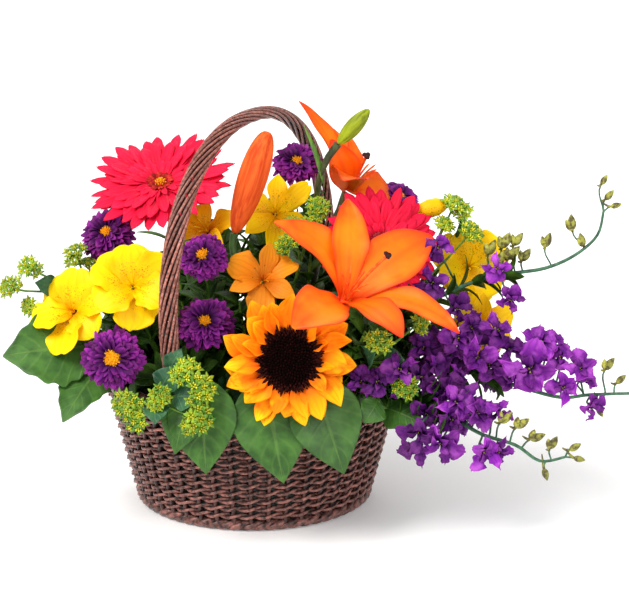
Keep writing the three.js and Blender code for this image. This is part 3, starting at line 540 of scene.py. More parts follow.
GOLD_EYE = fibre_finish("gold_eye", "#d08008", "#ffb41c", rough=0.8, streak=900.0, bump=0.6, spread=0.4,
                        gloss=0.1)
LIME = fibre_finish("bupleurum_lime", "#3c7420", "#7aa030", rough=0.55, streak=220.0, spread=0.4)
LIME_FLORET = fibre_finish("bupleurum_floret", "#a0a018", "#e0d830", rough=0.7, streak=900.0, bump=0.5,
                           spread=0.4)
LARKSPUR_STEM = fibre_finish("larkspur_stem", "#234634", "#4a7c58")
LARKSPUR_BUD = fibre_finish("larkspur_bud", "#4c4420", "#98983c", rough=0.6, streak=260.0, bump=0.35,
                            spread=0.45, low=0.42, high=0.58)

# two finishes for the same petals: the yellower one on the lower petals, painted as sunlit, and the deeper
# orange one on the upper petals, painted as shaded
SUNFLOWER_SUNLIT_LOW = petal_finish(
    "sunflower_petal", ((0.08, "#d2420a"), (0.34, "#f0740a"), (0.66, "#ffa80c"), (1.0, "#ffcc14")),
    "#ea7c08", 4.0, 0.25, grain=80.0, blush="#ea6408", blush_share=0.8, edge="#f07008", edge_share=0.5,
    gloss=0.08)
SUNFLOWER_SHADED_TOP = petal_finish(
    "sunflower_shaded_top_petal", ((0.08, "#cc400a"), (0.36, "#ea6406"), (0.8, "#f67c06"), (1.0, "#ffb010")),
    "#dc6406", 4.0, 0.3, grain=70.0, blush="#f89408", edge="#fb9c0c", edge_share=0.4, gloss=0.05)
GERBERA_PINK = petal_finish(
    "gerbera_pink_red", ((0.0, "#e8402c"), (0.22, "#e8183a"), (0.7, "#f4123e"), (1.0, "#fa1e4a")),
    "#c00a32", 3.0, blush="#d60c34", blush_share=0.4)
GERBERA_CRIMSON = petal_finish(
    "gerbera_crimson", ((0.0, "#b00c24"), (0.4, "#e20e34"), (1.0, "#f61a44")), "#b4082c", 3.0,
    blush="#cc0a30", blush_share=0.4)
LILY_TEPAL = petal_finish(
    "lily_tepal",
    ((0.0, "#e4440c"), (0.2, "#f8740e"), (0.72, "#f86c0c"), (0.92, "#f04c16"), (1.0, "#e62e18")),
    "#e84c10", 3.0, 0.36, rough=0.45, grain=30.0, bump=0.3, blush="#fe8a14", blush_share=0.75,
    edge="#ea3416", edge_share=0.85)
ALSTROEMERIA_YELLOW = petal_finish(
    "alstroemeria_outer", ((0.0, "#e89c00"), (0.35, "#fcc000"), (1.0, "#ffd800")), "#f6b800", 5.0, 0.25,
    rough=0.45, grain=50.0, bump=0.25, blush="#ffe200", blush_share=0.6, spots="#864c10")
ALSTROEMERIA_AMBER = petal_finish(
    "alstroemeria_amber", ((0.0, "#f09804"), (0.4, "#ffc008"), (1.0, "#ffd60c")), "#f6ac04", 5.0, 0.25,
    rough=0.45, grain=50.0, bump=0.25, blush="#fbaa08", spots="#8a4810")
ALSTROEMERIA_GOLD = petal_finish(
    "alstroemeria_gold", ((0.0, "#d86c04"), (0.5, "#f28c14"), (1.0, "#fba41c")), "#e47810", 6.0, rough=0.45,
    grain=50.0, bump=0.25, blush="#e8942c", blush_share=0.7)
ASTER_RAY = petal_finish(
    "aster_ray", ((0.0, "#180320"), (0.4, "#3a0850"), (0.8, "#6a1474"), (1.0, "#a4329a")), "#2c053e", 2.0,
    grain=120.0, bump=0.3, spread=0.6, blush="#861a8c", blush_share=0.45)
LARKSPUR_SEPAL = petal_finish(
    "larkspur_sepal", ((0.0, "#2a0638"), (0.22, "#581678"), (0.7, "#7c2094"), (1.0, "#a03cb2")), "#4c0e70",
    3.0, grain=110.0, spread=0.55, blush="#b054bc", blush_share=0.65)

LEAF = leaf_finish("leathery_leaf", "#294f18", "#436f28", "#6e9242", side_veins=7.0)
NARROW_LEAF = leaf_finish("narrow_leaf", "#16300e", "#446a1e", "#68903a", rough=0.5, spread=0.5, coat=0.0,
                          gloss=0.1)
LIME_LEAF = leaf_finish("lime_leaf", "#3f7a1c", "#90b02c", "#b8cc48")
ROUND_LEAF = leaf_finish("round_leaf", "#244f38", "#416f48", "#6a9262", side_veins=5.0, marked=0.35)


# basket

BASE_RADIUS = 91
RIM_RADIUS = 115
WALL_HEIGHT = 98
WALL_THICK = 7
STAKES = 44
STAKE_LOW, STAKE_HIGH = 3, 96
STAKE_RADIUS = 1.7
WEAVE_ROWS = 13
WEAVE_LOW, WEAVE_HIGH = 12.3, 89.7
WEAVE_MIDDLE = 0.4 - WALL_THICK / 2
WEAVER_RADIUS = 1.25
WEAVER_SWING = 2.6
WEAVER_RISE = 1.5
STEPS_A_STAKE = 4
RING = 100
SKIN_LOW, SKIN_HIGH = 5, 94
FLOOR_RADIUS, FLOOR_THICK, FLOOR_MIDDLE = 84, 4.4, 2.4
BORDERS = (  # name, ring's radius and height, rods, their radius, the rope's half sizes, turns, steps
    ("foot", 87.6, 4.33, 3, 2.3, 2.3, 1.9, 20, 240),
    ("rim", 110.4, 98, 5, 2.2, 3.4, 2.9, 22, 264),
)


def wall_radius(height):
    return BASE_RADIUS + (RIM_RADIUS - BASE_RADIUS) * height / WALL_HEIGHT


def around(radius, angle, height):
    return V(radius * math.cos(angle), radius * math.sin(angle), height)


def make_weaver():
    """A ring of willow that passes before one stake and behind the next, rising and dropping between them."""
    clear_selection()
    columns, period = STAKES * STEPS_A_STAKE, 2 * STEPS_A_STAKE
    bpy.ops.mesh.primitive_torus_add(major_segments=columns, minor_segments=6, major_radius=RING * MM,
                                     minor_radius=WEAVER_RADIUS * MM)
    ring = started("weaver_model")
    edit(ring)
    for step in range(period):
        turn = TURN * step / period
        swell = 1 + WEAVER_SWING * math.cos(turn) / RING
        pick(ring, lambda p: round(math.atan2(p.y, p.x) / TURN * columns) % period == step)
        resize((swell, swell, 1))
        move((0, 0, WEAVER_RISE * math.sin(turn) * MM))
    leave_edit()
    return model(smooth(ring))


def inner_skin():
    """The liner's dark film just inside the weave, seen between the rods, where its darkness also stands in
    as painted shade in the gaps.
    """
    clear_selection()
    bpy.ops.mesh.primitive_cylinder_add(vertices=STAKES * 2, radius=1, depth=(SKIN_HIGH - SKIN_LOW) * MM,
                                        end_fill_type="NOTHING",
                                        location=V(0, 0, (SKIN_LOW + SKIN_HIGH) / 2))
    skin = started("inner_skin")
    edit(skin)
    for level in (SKIN_LOW, SKIN_HIGH):
        radius = (wall_radius(level) - WALL_THICK + 0.9) * MM
        pick(skin, lambda p: abs(p.z - level * MM) < 0.1 * MM)
        resize((radius, radius, 1), (0, 0, level * MM))
    leave_edit()
    finish_with(skin, "SOLIDIFY", thickness=0.6 * MM, offset=0)
    return give_tone(skin, 0.0)


def woven_floor():
    clear_selection()
    bpy.ops.mesh.primitive_cylinder_add(vertices=64, radius=FLOOR_RADIUS * MM, depth=FLOOR_THICK * MM,
                                        location=V(0, 0, FLOOR_MIDDLE))
    floor = started("woven_floor")
    finish_with(floor, "BEVEL", width=1.2 * MM, segments=2, limit_method="ANGLE")
    return give_tone(floor, 0.2)


def woven_wall():
    weaver = make_weaver()
    rng = random.Random(7)
    rods = []
    for row in range(WEAVE_ROWS):
        height = WEAVE_LOW + (WEAVE_HIGH - WEAVE_LOW) * row / (WEAVE_ROWS - 1)
        wide = (wall_radius(height) + WEAVE_MIDDLE) / RING
        for strand in range(2):
            turn = Matrix.Rotation(TURN * (row + strand) / STAKES, 4, "Z")
            spot = Matrix.Translation(V(0, 0, height)) @ Matrix.Diagonal((wide, wide, 1, 1)) @ turn
            rods.append(copy_of(weaver, spot, rng.uniform(0.45, 0.9)))
    foot, head = wall_radius(2) + WEAVE_MIDDLE, wall_radius(STAKE_HIGH) + WEAVE_MIDDLE
    for stake in range(STAKES):
        angle = TURN * stake / STAKES
        line = [around(foot, angle, STAKE_LOW), around(head, angle, STAKE_HIGH)]
        # the stakes get the lowest tones, darker than the weavers: painted shade between the rows
        rods.append(rod(line, STAKE_RADIUS, 6, tone=rng.uniform(0.0, 0.2)))
    wall = joined("woven_basket", (rods + [woven_floor()], WICKER), ([inner_skin()], LINER))
    stand_for(wall, "wicker", "basket_wall")


def strands(line_at, rng, count, radius, wide, deep, turns, steps, close=False, sides=8, tones=(0.2, 0.85)):
    """Rods that wind round a line together, as the rods of a border or a handle do."""
    rods = []
    for k in range(count):
        points = []
        for i in range(steps if close else steps + 1):
            t = i / steps
            point, across, above = line_at(t)
            angle = TURN * (k / count + turns * t)
            points.append(point + across * (wide * MM * math.cos(angle))
                          + above * (deep * MM * math.sin(angle)))
        rods.append(rod(points, radius, sides, close, rng.uniform(*tones) * (1 if k % 2 else 0.6)))
    return rods


def borders():
    rng = random.Random(11)
    for name, radius, height, *rope in BORDERS:
        def ring_at(t):
            outward = Vector((math.cos(TURN * t), math.sin(TURN * t), 0))
            return outward * radius * MM + V(0, 0, height), outward, UP

        border = joined(f"{name}_border_rods", (strands(ring_at, rng, *rope, close=True), WICKER))
        stand_for(border, "wicker", f"basket_{name}_border")


# handle: an arch in an upright plane that is turned away from the viewer
HANDLE_TURN = math.radians(64.4)
HANDLE_ALONG = Vector((-math.cos(HANDLE_TURN), -math.sin(HANDLE_TURN), 0))
HANDLE_ACROSS = Vector((math.sin(HANDLE_TURN), -math.cos(HANDLE_TURN), 0))
HANDLE_FOOT = 102.2
HANDLE_SHOULDER = 166.6
HANDLE_SPREAD = 130.9
HANDLE_RISE = 130.3
HANDLE_DRAW = 19.9
HANDLE_DRAW_HEIGHT = 68.6
HANDLE_POWER = 2 / 2.21
HANDLE_STEPS = 260
SIDE_STEPS, ARCH_STEPS = 80, 160


def handle_path():
    """Evenly spaced centre line from the near foot over the top to the far foot."""
    half = []
    for i in range(SIDE_STEPS + 1):
        height = HANDLE_FOOT + (HANDLE_SHOULDER - HANDLE_FOOT) * i / SIDE_STEPS
        drawn_in = HANDLE_DRAW * ((HANDLE_SHOULDER - height) / HANDLE_DRAW_HEIGHT) ** 2
        half.append((HANDLE_SPREAD - drawn_in, height))
    for i in range(1, ARCH_STEPS + 1):
        t = math.pi / 2 * i / ARCH_STEPS
        spread = HANDLE_SPREAD * math.cos(t) ** HANDLE_POWER if i < ARCH_STEPS else 0.0
        half.append((spread, HANDLE_SHOULDER + HANDLE_RISE * math.sin(t) ** HANDLE_POWER))
    flat = half + [(-spread, height) for spread, height in reversed(half[:-1])]
    points = [HANDLE_ALONG * (spread * MM) + UP * (height * MM) for spread, height in flat]
    lengths = [0.0]
    for a, b in zip(points, points[1:]):
        lengths.append(lengths[-1] + (b - a).length)
    even, k = [], 0
    for i in range(HANDLE_STEPS + 1):
        want = lengths[-1] * i / HANDLE_STEPS
        while k < len(lengths) - 2 and lengths[k + 1] < want:
            k += 1
        share = (want - lengths[k]) / max(lengths[k + 1] - lengths[k], 1e-9)
        even.append(points[k].lerp(points[k + 1], min(max(share, 0), 1)))
    return even


def twisted_handle():
    """Roped rods round a core painted dark, as shade in the gaps between them."""
    path = handle_path()

    def arch_at(t):
        i = round(t * HANDLE_STEPS)
        ahead = (path[min(i + 1, HANDLE_STEPS)] - path[max(i - 1, 0)]).normalized()
        return path[i], HANDLE_ACROSS, ahead.cross(HANDLE_ACROSS).normalized()

    rng = random.Random(23)
    rods = strands(arch_at, rng, 11, 1.04, 6.45, 4.05, 3.6, HANDLE_STEPS, sides=6, tones=(0.5, 0.78))
    # the core's two rods get the lowest tones: painted shade that shows in the gaps between the strands
    rods += strands(arch_at, rng, 2, 2.6, 2.9, 0, 0, HANDLE_STEPS, sides=6, tones=(0.0, 0.05))
    stand_for(joined("twisted_handle", (rods, HANDLE_WICKER)), "handle_wicker", "basket_handle")


# outlines of petals and leaves: the share of the full width at a share of the length

def leaf_outline(widest, blunt):
    stretch = math.log(0.5) / math.log(widest)
    return lambda t: max(math.sin(math.pi * min(max(t, 0.0), 1.0) ** stretch), 0.0) ** blunt


def clawed(foot, opened, swell, turns, tail, curve, fall, least=0.0):
    """Narrow at its foot, even along its middle and drawn in to its end."""
    def outline(t):
        start = foot + (1 - foot) * min(t / opened, 1.0) ** swell
        return start * max(1 - (max(t - turns, 0) / tail) ** curve, least) ** fall
    return outline


STRAP = clawed(0.42, 0.55, 0.8, 0.72, 0.29, 2, 0.5, 0.02)
SPADE = clawed(0.26, 0.55, 1.3, 0.55, 0.46, 1.7, 1)
ROUND = clawed(0.3, 0.5, 0.8, 0.55, 0.47, 2.4, 0.5)
TEPAL = clawed(0.34, 0.5, 1.2, 0.5, 0.51, 2.1, 0.85)


def rippled(outline, size, count):
    """The same outline with small scallops or teeth along it."""
    return lambda t: outline(t) * (1 + size * math.sin(TURN * count * t))


# models that are set out again and again

EDGE, SHOULDER = 0.4, 0.2
NARROWEST = 0.02


def cut_blade(length, width, outline, rows, columns, arch, cup=0.0, wave=0.0, waves=2.0, thick=0.5,
              soften=0, notch=0.0, bow=0.0, laid_as=None):
    """One petal or leaf from a grid: each row is drawn in to its width, lifted, cupped, waved and bowed."""
    clear_selection()
    bpy.ops.mesh.primitive_grid_add(x_subdivisions=rows, y_subdivisions=columns, size=1,
                                    location=(0.5, 0, 0))
    blade = started("blade")
    places = sorted({round(vertex.co.x, 4) for vertex in blade.data.vertices})
    edit(blade)

    def shift(t, step, test=lambda y: True):
        """Moves what passes the test across the row that lies at t."""
        pick(blade, lambda p: abs(p.x - t) < CLOSE and test(p.y))
        move(step)

    for t in places:
        wide = max(outline(t), NARROWEST)
        edge, shoulder = EDGE * wide, SHOULDER * wide
        pick(blade, lambda p: abs(p.x - t) < CLOSE)
        resize((1, wide, 1), (t, 0, 0))
        move((0, 0, arch * 4 * t * (1 - t)))
        if cup:
            shift(t, (0, 0, cup * wide), lambda y: abs(y) > edge)
            shift(t, (0, 0, 0.3 * cup * wide), lambda y: shoulder < abs(y) <= edge)
        if wave:
            for sign, lag in ((-1, 0), (1, 0.9)):
                lift = wave * wide * math.sin(TURN * waves * t + lag)
                shift(t, (0, 0, lift), lambda y: sign * y > edge)
        if bow:
            shift(t, (0, bow / width * 4 * t * (1 - t), 0))
    if notch:
        shift(1, (-notch, 0, 0), lambda y: abs(y) < CLOSE)
    resize_all((length * MM, width * MM, MM))
    leave_edit()
    finish_with(blade, "SOLIDIFY", thickness=thick * MM, offset=0)
    if soften:
        finish_with(blade, "SUBSURF", levels=soften, render_levels=soften)
    blade["length"] = laid_as or length
    return model(smooth_all(blade))


def make_dome():
    """A low dome, closed underneath."""
    clear_selection()
    bpy.ops.mesh.primitive_uv_sphere_add(segments=28, ring_count=14, radius=1)
    dome = started("dome")
    edit(dome)
    pick(dome, lambda p: p.z < -CLOSE)
    resize((1, 1, 0.2))
    resize_all((MM, MM, MM))
    leave_edit()
    return model(smooth(dome))


def make_nub(radius, height):
    """A blunt little floret or seed."""
    clear_selection()
    bpy.ops.mesh.primitive_cone_add(vertices=5, radius1=radius * MM, radius2=0.75 * radius * MM,
                                    depth=height * MM, location=V(0, 0, height / 2))
    nub = started("nub")
    edit(nub)
    pick(nub, lambda p: p.z > height * MM * 0.9)
    bpy.ops.mesh.extrude_region_move(TRANSFORM_OT_translate={"value": (0, 0, height * 0.3 * MM)})
    resize((0.35, 0.35, 1), (0, 0, height * MM))
    leave_edit()
    return model(smooth(nub))


def make_bud(length, width, widest, ribs, depth, segments, rings, blunt=0.75):
    """A closed bud from base at the origin to tip along Z, with furrows between its petals."""
    clear_selection()
    bpy.ops.mesh.primitive_uv_sphere_add(segments=segments, ring_count=rings, radius=1)
    bud = started("bud")
    outline = leaf_outline(widest, blunt)
    levels = sorted({round(vertex.co.z, 4) for vertex in bud.data.vertices})
    edit(bud)
    for level in levels[1:-1]:
        size = max(outline((level + 1) / 2), 0.05) / math.sqrt(1 - level * level)
        pick(bud, lambda p: abs(p.z - level) < CLOSE)
        resize((size, size, 1))
    pick(bud, lambda p: math.cos(ribs * math.atan2(p.y, p.x)) < -0.6)
    resize((1 - depth, 1 - depth, 1))
    bpy.ops.mesh.select_all(action="SELECT")
    move((0, 0, 1))
    resize((width / 2 * MM, width / 2 * MM, length / 2 * MM))
    leave_edit()
    return model(smooth(bud))


LILY_BLADE = dict(rows=14, columns=6, thick=0.8, soften=1)
ALSTROEMERIA_BLADE = dict(rows=12, columns=6, thick=0.6, soften=1)
BROAD_LEAF = dict(columns=6, arch=3.0, thick=0.7, soften=1)
KINDS = {
    "sunflower": cut_blade(37, 14, rippled(leaf_outline(0.46, 0.62), 0.05, 3), 10, 4, 2.6, 1.2, 1.5, 1.6,
                           0.7, 1),
    "bent_sunflower": cut_blade(37, 14, rippled(leaf_outline(0.5, 0.7), 0.06, 3), 10, 4, 4.4, 2.0, 1.9, 1.3,
                                0.7, 1, bow=2.6),
    "gerbera": cut_blade(50, 9.4, STRAP, 11, 4, 1.6, 0.8, 0.3, notch=-0.03, thick=0.6),
    "short_ray": cut_blade(12, 2.6, STRAP, 4, 2, 1.2, thick=0.4),
    "tepal": cut_blade(90, 27, leaf_outline(0.5, 0.7), arch=9.0, cup=3.4, wave=1.8, waves=2.2,
                       **LILY_BLADE),
    "left_tepal": cut_blade(90, 27, TEPAL, arch=8.0, cup=3.4, wave=1.8, waves=2.2, bow=-10.0, **LILY_BLADE),
    "right_tepal": cut_blade(90, 27, leaf_outline(0.5, 0.7), arch=9.0, cup=3.4, wave=1.8, waves=2.2,
                             bow=9.0, **LILY_BLADE),
    "broad_tepal": cut_blade(90, 27, TEPAL, arch=8.0, cup=4.2, wave=1.6, waves=2.6, **LILY_BLADE),
    "outer_petal": cut_blade(30, 21, rippled(ROUND, 0.08, 3.3), arch=3.4, cup=1.6, wave=2.3, waves=1.9,
                             notch=0.05, **ALSTROEMERIA_BLADE),
    "lobed_petal": cut_blade(30, 21, rippled(ROUND, 0.1, 2.6), arch=4.6, cup=2.2, wave=2.0, waves=2.6,
                             notch=-0.08, bow=1.6, **ALSTROEMERIA_BLADE),
    "slim_petal": cut_blade(30, 13, SPADE, 8, 4, 3.5, 1.8, 0.8, 2.0, 0.6, 1),
    "aster": cut_blade(16, 4.7, STRAP, 5, 2, 1.6, 0.9),
    "sepal": cut_blade(13, 9.0, rippled(ROUND, 0.1, 2.3), 7, 4, 1.8, 1.4, 1.9, 1.7, notch=-0.08),
    "torn_sepal": cut_blade(13, 8.4, rippled(SPADE, 0.2, 2.6), 9, 4, 2.4, 1.9, 2.6, 1.3, notch=-0.14,
                            bow=1.2),
    "short_petal": cut_blade(13, 9.6, SPADE, 4, 2, 1.8, 1.4),
    "bract": cut_blade(6.5, 2.9, leaf_outline(0.42, 0.9), 4, 2, 0.6, thick=0.35, laid_as=5.5),
    "leaf": cut_blade(60, 36, leaf_outline(0.42, 1.0), 14, cup=1.8, wave=1.6, waves=2.2, notch=-0.02,
                      **BROAD_LEAF),
    "toothed_leaf": cut_blade(60, 36, rippled(leaf_outline(0.42, 0.95), 0.07, 5.4), 26, cup=2.2, wave=1.8,
                              waves=1.7, **BROAD_LEAF),
    "narrow": cut_blade(40, 7, leaf_outline(0.42, 0.8), 9, 2, 3.0, 0.8),
    "sprig_leaf": cut_blade(34, 13, leaf_outline(0.5, 0.8), 9, 2, 2.5, 1.4),
    "green_sepal": cut_blade(20, 7, leaf_outline(0.3, 0.8), 5, 2, -1.5, thick=0.6, soften=1),
    "nub": make_nub(0.8, 1.6),
    "seed": make_nub(0.85, 2.2),
    "dome": make_dome(),
    "bud": make_bud(12, 7, 0.45, 5, 0.12, 12, 8),
    "spur_bud": make_bud(12, 6.4, 0.42, 5, 0.2, 12, 8, 0.8),
    "anther": make_bud(11, 3.2, 0.5, 2, 0.3, 10, 8, 0.45),
    "lily_bud": make_bud(80, 22.5, 0.56, 6, 0.1, 24, 18, 0.4),
    "green_bud": make_bud(42, 15, 0.5, 6, 0.14, 24, 14, 0.55),
}


# setting out

class Bloom:
    """A flower's own frame: out of its face, to the right and up as the viewer sees it."""

    def __init__(self, at, facing):
        self.at = at
        self.out = facing.normalized()
        self.right = UP.cross(self.out).normalized()
        self.up = self.out.cross(self.right)

    def place(self, radius, angle, height):
        return (self.at + self.right * (radius * MM * math.cos(angle))
                + self.up * (radius * MM * math.sin(angle)) + self.out * (height * MM))

    def matrix(self, height=0.0, size=1.0, twist=0.0):
        """The matrix that puts a model on the flower's face."""
        turn = Matrix((self.right, self.up, self.out)).transposed().to_4x4()
        spot = Matrix.Translation(self.at + self.out * height * MM)
        return spot @ turn @ Matrix.Rotation(twist, 4, "Z") @ Matrix.Diagonal((size, size, size, 1))

    def cushion(self, height, radius, depth, tone):
        """A low dome on the flower's face."""
        return copy_of(KINDS["dome"], self.matrix(height) @ Matrix.Diagonal((radius, radius, depth, 1)),
                       tone)


def stand_along(base, direction, size=1.0, twist=0.0, stretch=1.0):
    """The matrix that stands a model on base with its Z along direction."""
    turn = direction.normalized().to_track_quat("Z", "Y").to_matrix().to_4x4()
    return (Matrix.Translation(base) @ turn @ Matrix.Rotation(twist, 4, "Z")
            @ Matrix.Diagonal((size, size, size * stretch, 1)))


def ray_ring(bloom, kinds, rng, count, inner, reach, low, tilt, turn=0.0, tones=(0.3, 0.7), shorten=0.08,
             roll=0.2, widen=1.0, vary=0.0, sway=0.05):
    """A ring of petals, no two alike in place, length, width or turn."""
    rays = []
    for k in range(count):
        angle = turn + TURN * k / count + rng.uniform(-sway, sway)
        far = reach * (1 - rng.uniform(0, shorten))
        lift = math.tan(tilt + rng.uniform(-sway, sway))
        root, tip = bloom.place(inner, angle, low), bloom.place(far, angle, low + (far - inner) * lift)
        side = bloom.up * math.cos(angle) - bloom.right * math.sin(angle)
        face = bloom.out + side * rng.uniform(-roll, roll)
        wide = widen * (1 + rng.uniform(-vary, vary))
        ray = rng.choice(kinds) if isinstance(kinds, list) else kinds
        rays.append(laid(ray, root, tip, face, rng.uniform(*tones), wide))
    return rays


GOLDEN_ANGLE = 2.399963


def nub_field(bloom, nub, rng, count, radius, base, height, tones=(0.3, 0.7), size=(0.9, 1.1),
              rim_tone=None):
    """Small florets or seeds set over a dome in a spiral."""
    nubs = []
    for k in range(count):
        share = math.sqrt((k + 0.5) / count)
        angle = k * GOLDEN_ANGLE
        above = base + height * math.sqrt(max(1 - share * share, 0)) - 0.4
        spot = bloom.place(radius * share, angle, above)
        outward = bloom.right * math.cos(angle) + bloom.up * math.sin(angle)
        tone = rng.uniform(*tones)
        if rim_tone is not None and share > 0.72:
            tone = rim_tone + rng.uniform(-0.1, 0.1)
        leaning = bloom.out + outward * (share * 0.8)
        nubs.append(copy_of(nub, stand_along(spot, leaning, rng.uniform(*size)), tone))
    return nubs


FOAM_EDGE, FOAM_CROWN, FOAM_REACH = 90, 12, 99
STEMS_AIM = V(0, 0, -70)
STEM_DEPTH, STEM_STRAIGHT = 30, 5


class Foot:
    """Where a stem goes into the foam, and the way it leans there."""

    def __init__(self, x, y):
        self.entry = V(x, y, FOAM_EDGE + FOAM_CROWN * (1 - (x * x + y * y) / FOAM_REACH ** 2))
        self.up = (self.entry - STEMS_AIM).normalized()
        self.low = self.entry - self.up * STEM_DEPTH * MM
        self.high = self.entry + self.up * STEM_STRAIGHT * MM

    def stem(self, line, radii, tone=0.5, sides=8):
        """A rod from its end in the foam along the line."""
        return rod([self.low, self.entry] + line, radii, sides, tone=tone)

    def rise(self, target, arriving, steps):
        return bend(self.high, self.up, target, arriving, steps)


def flared(count, radius, flare):
    """The radii of a rod that widens or narrows at its end."""
    return [radius] * (count - 2) + [radius * (1 + flare) / 2, radius * flare]


def flower_stem(foot, radius, bloom, low):
    line = foot.rise(bloom.place(0, 0, low), bloom.out, 12)
    return foot.stem(line, flared(len(line) + 2, radius, 2.6))


def forked_stem(foot, radius, fork, ends):
    """A stem that forks into branches, each thicker or thinner by its flare where it ends."""
    lean = (fork - foot.high).normalized()
    main, thin = foot.rise(fork, lean, 10), radius * 0.75
    pieces = [foot.stem(main, [radius] * (len(main) + 1) + [thin * 1.1])]
    start = fork - lean * (2.5 * radius * MM)
    for target, facing, flare in ends:
        line = bend(start, lean, target, facing.normalized(), 10, 0.34)
        pieces.append(rod(line, flared(len(line), thin, flare)))
    return pieces


def leaves_along(line, leaf, rng, count, first, last, size, tones=(0.2, 0.8), spread=0.9):
    """Narrow leaves set round a stem."""
    leaves = []
    for k in range(count):
        i = int((first + (last - first) * k / max(count - 1, 1)) * (len(line) - 2))
        ahead = (line[i + 1] - line[i]).normalized()
        side = ahead.orthogonal().normalized()
        side.rotate(Matrix.Rotation(k * 2.4 + rng.uniform(-0.4, 0.4), 3, ahead))
        way = (ahead * (1 - spread * 0.5) + side * spread).normalized()
        tip = line[i] + way * leaf["length"] * MM * rng.uniform(*size)
        leaves.append(laid(leaf, line[i], tip, (ahead - side * 0.3).normalized(), rng.uniform(*tones)))
    return leaves


def calyx(bloom, radius, low, count=12, reach=1.0):
    """Green cup and pointed bracts under a flower head."""
    cup = bloom.cushion(low - 0.5, radius, -4.2, 0.4)
    cup.data.flip_normals()
    return [cup] + ray_ring(bloom, KINDS["green_sepal"], random.Random(count), count, radius * 0.35,
                            radius * 1.25 * reach, low - 1.6, 0.02, roll=0.1)


# sunflower

SUNFLOWER = Bloom(V(29, -128, 143.5), Vector((-0.02, -0.95, 0.3)))
SUNFLOWER_RINGS = (  # count, foot, reach, height, tilt, turn, tones, shorter by, roll, width, vary, sway
    (14, 17, 56, -2.6, 0.0, 0.0, (0.3, 0.7), 0.26, 0.7, 1.3, 0.25, 0.14),
    (14, 17.5, 52, -1.5, 0.12, 0.2, (0.35, 0.8), 0.26, 0.7, 1.3, 0.25, 0.14),
    (12, 18, 45, -0.5, 0.28, 0.33, (0.3, 0.75), 0.35, 0.7, 1.15, 0.3, 0.14),
)


def sunflower():
    rng = random.Random(3)
    upper, lower = [], []
    for ring in SUNFLOWER_RINGS:
        for ray in ray_ring(SUNFLOWER, [KINDS["sunflower"], KINDS["bent_sunflower"]], rng, *ring):
            # petals above the head's middle take the deeper orange finish and those below the yellower one:
            # painted light, the bottom lit and the top in shade
            middle = sum(vertex.co.z for vertex in ray.data.vertices) / len(ray.data.vertices)
            (upper if middle > SUNFLOWER.at.z + 6 * MM else lower).append(ray)
    rays = joined("sunflower_rays", (lower, SUNFLOWER_SUNLIT_LOW), (upper, SUNFLOWER_SHADED_TOP))
    stand_for(rays, "sunflower_gold", "sunflower_petals")
    head = [SUNFLOWER.cushion(0.4, 22.5, 6.4, 0.1)]
    head += nub_field(SUNFLOWER, KINDS["seed"], rng, 420, 23, 0.4, 6.6, (0.0, 0.25), rim_tone=0.85)
    head += ray_ring(SUNFLOWER, KINDS["short_ray"], rng, 64, 17, 26.5, 2.0, 0.5, tones=(0.3, 0.9),
                     shorten=0.2, widen=0.8)
    stand_for(joined("sunflower_seed_head", (head, SEED)), "sunflower_dark", "sunflower_disc")
    green = [flower_stem(Foot(20, -72), 4, SUNFLOWER, -3.6)] + calyx(SUNFLOWER, 21, -3.4, 16, 1.25)
    stand_for(joined("sunflower_stalk", (green, STEM)), "green_stem", "sunflower_stem")


# gerberas

GERBERAS = (
    ("left", (-68, -5, 244), (-0.14, -0.48, 0.86), 57, 0.19, (-30, 0), "gerbera_pink_red",
     "gerbera_orange_heart", GERBERA_PINK, GERBERA_HEART),
    ("right", (96, -42, 206), (0.2, -0.84, 0.5), 48, 0.12, (50, -18), "gerbera_crimson",
     "gerbera_dark_heart", GERBERA_CRIMSON, CRIMSON_HEART),
)
GERBERA_RINGS = (  # share of the reach, height, added tilt, count, width
    (1.0, -2.0, 0.0, 27, 1.0), (0.87, -1.3, 0.02, 25, 1.05), (0.74, -0.5, 0.04, 22, 0.95),
    (0.56, 0.2, 0.08, 20, 0.75), (0.38, 0.9, 0.2, 18, 0.55),
)


def gerberas():
    short = KINDS["short_ray"]
    for index, (side, at, facing, reach, tilt, entry, *looks) in enumerate(GERBERAS):
        ray_slot, heart_slot, petal, heart = looks
        bloom = Bloom(V(*at), Vector(facing))
        rng = random.Random(30 + index)
        rays = []
        for layer, (share, low, lean, count, wide) in enumerate(GERBERA_RINGS):
            rays += ray_ring(bloom, KINDS["gerbera"], rng, count, 5.5, reach * share, low, tilt + lean,
                             layer * 0.11, (0.25, 0.75), 0.13, 0.3, wide, 0.16, 0.07)
        stand_for(joined(f"{side}_gerbera_rays", (rays, petal)), ray_slot, f"gerbera_{side}_petals")
        middle = [bloom.cushion(1.2, 9, 3.2, 0.1)]
        middle += ray_ring(bloom, short, rng, 34, 8, 15, 2.0, 0.35, tones=(0.1, 0.6), shorten=0.2)
        middle += ray_ring(bloom, short, rng, 26, 5, 11, 2.7, 0.5, 0.1, (0.0, 0.5), 0.2)
        middle += nub_field(bloom, KINDS["nub"], rng, 36, 7.4, 1.8, 2.6, (0.0, 0.5))
        gold = nub_field(bloom, KINDS["nub"], rng, 22, 3.4, 3.2, 2.2, (0.3, 0.8))
        hearts = joined(f"{side}_gerbera_heart", (middle, heart), (gold, GOLD_EYE))
        stand_for(hearts, heart_slot, f"gerbera_{side}_heart")
        green = [flower_stem(Foot(*entry), 3, bloom, -2.6)] + calyx(bloom, 10, -2.4, 14)
        stand_for(joined(f"{side}_gerbera_stalk", (green, STEM)), "green_stem", f"gerbera_{side}_stem")


# lilies

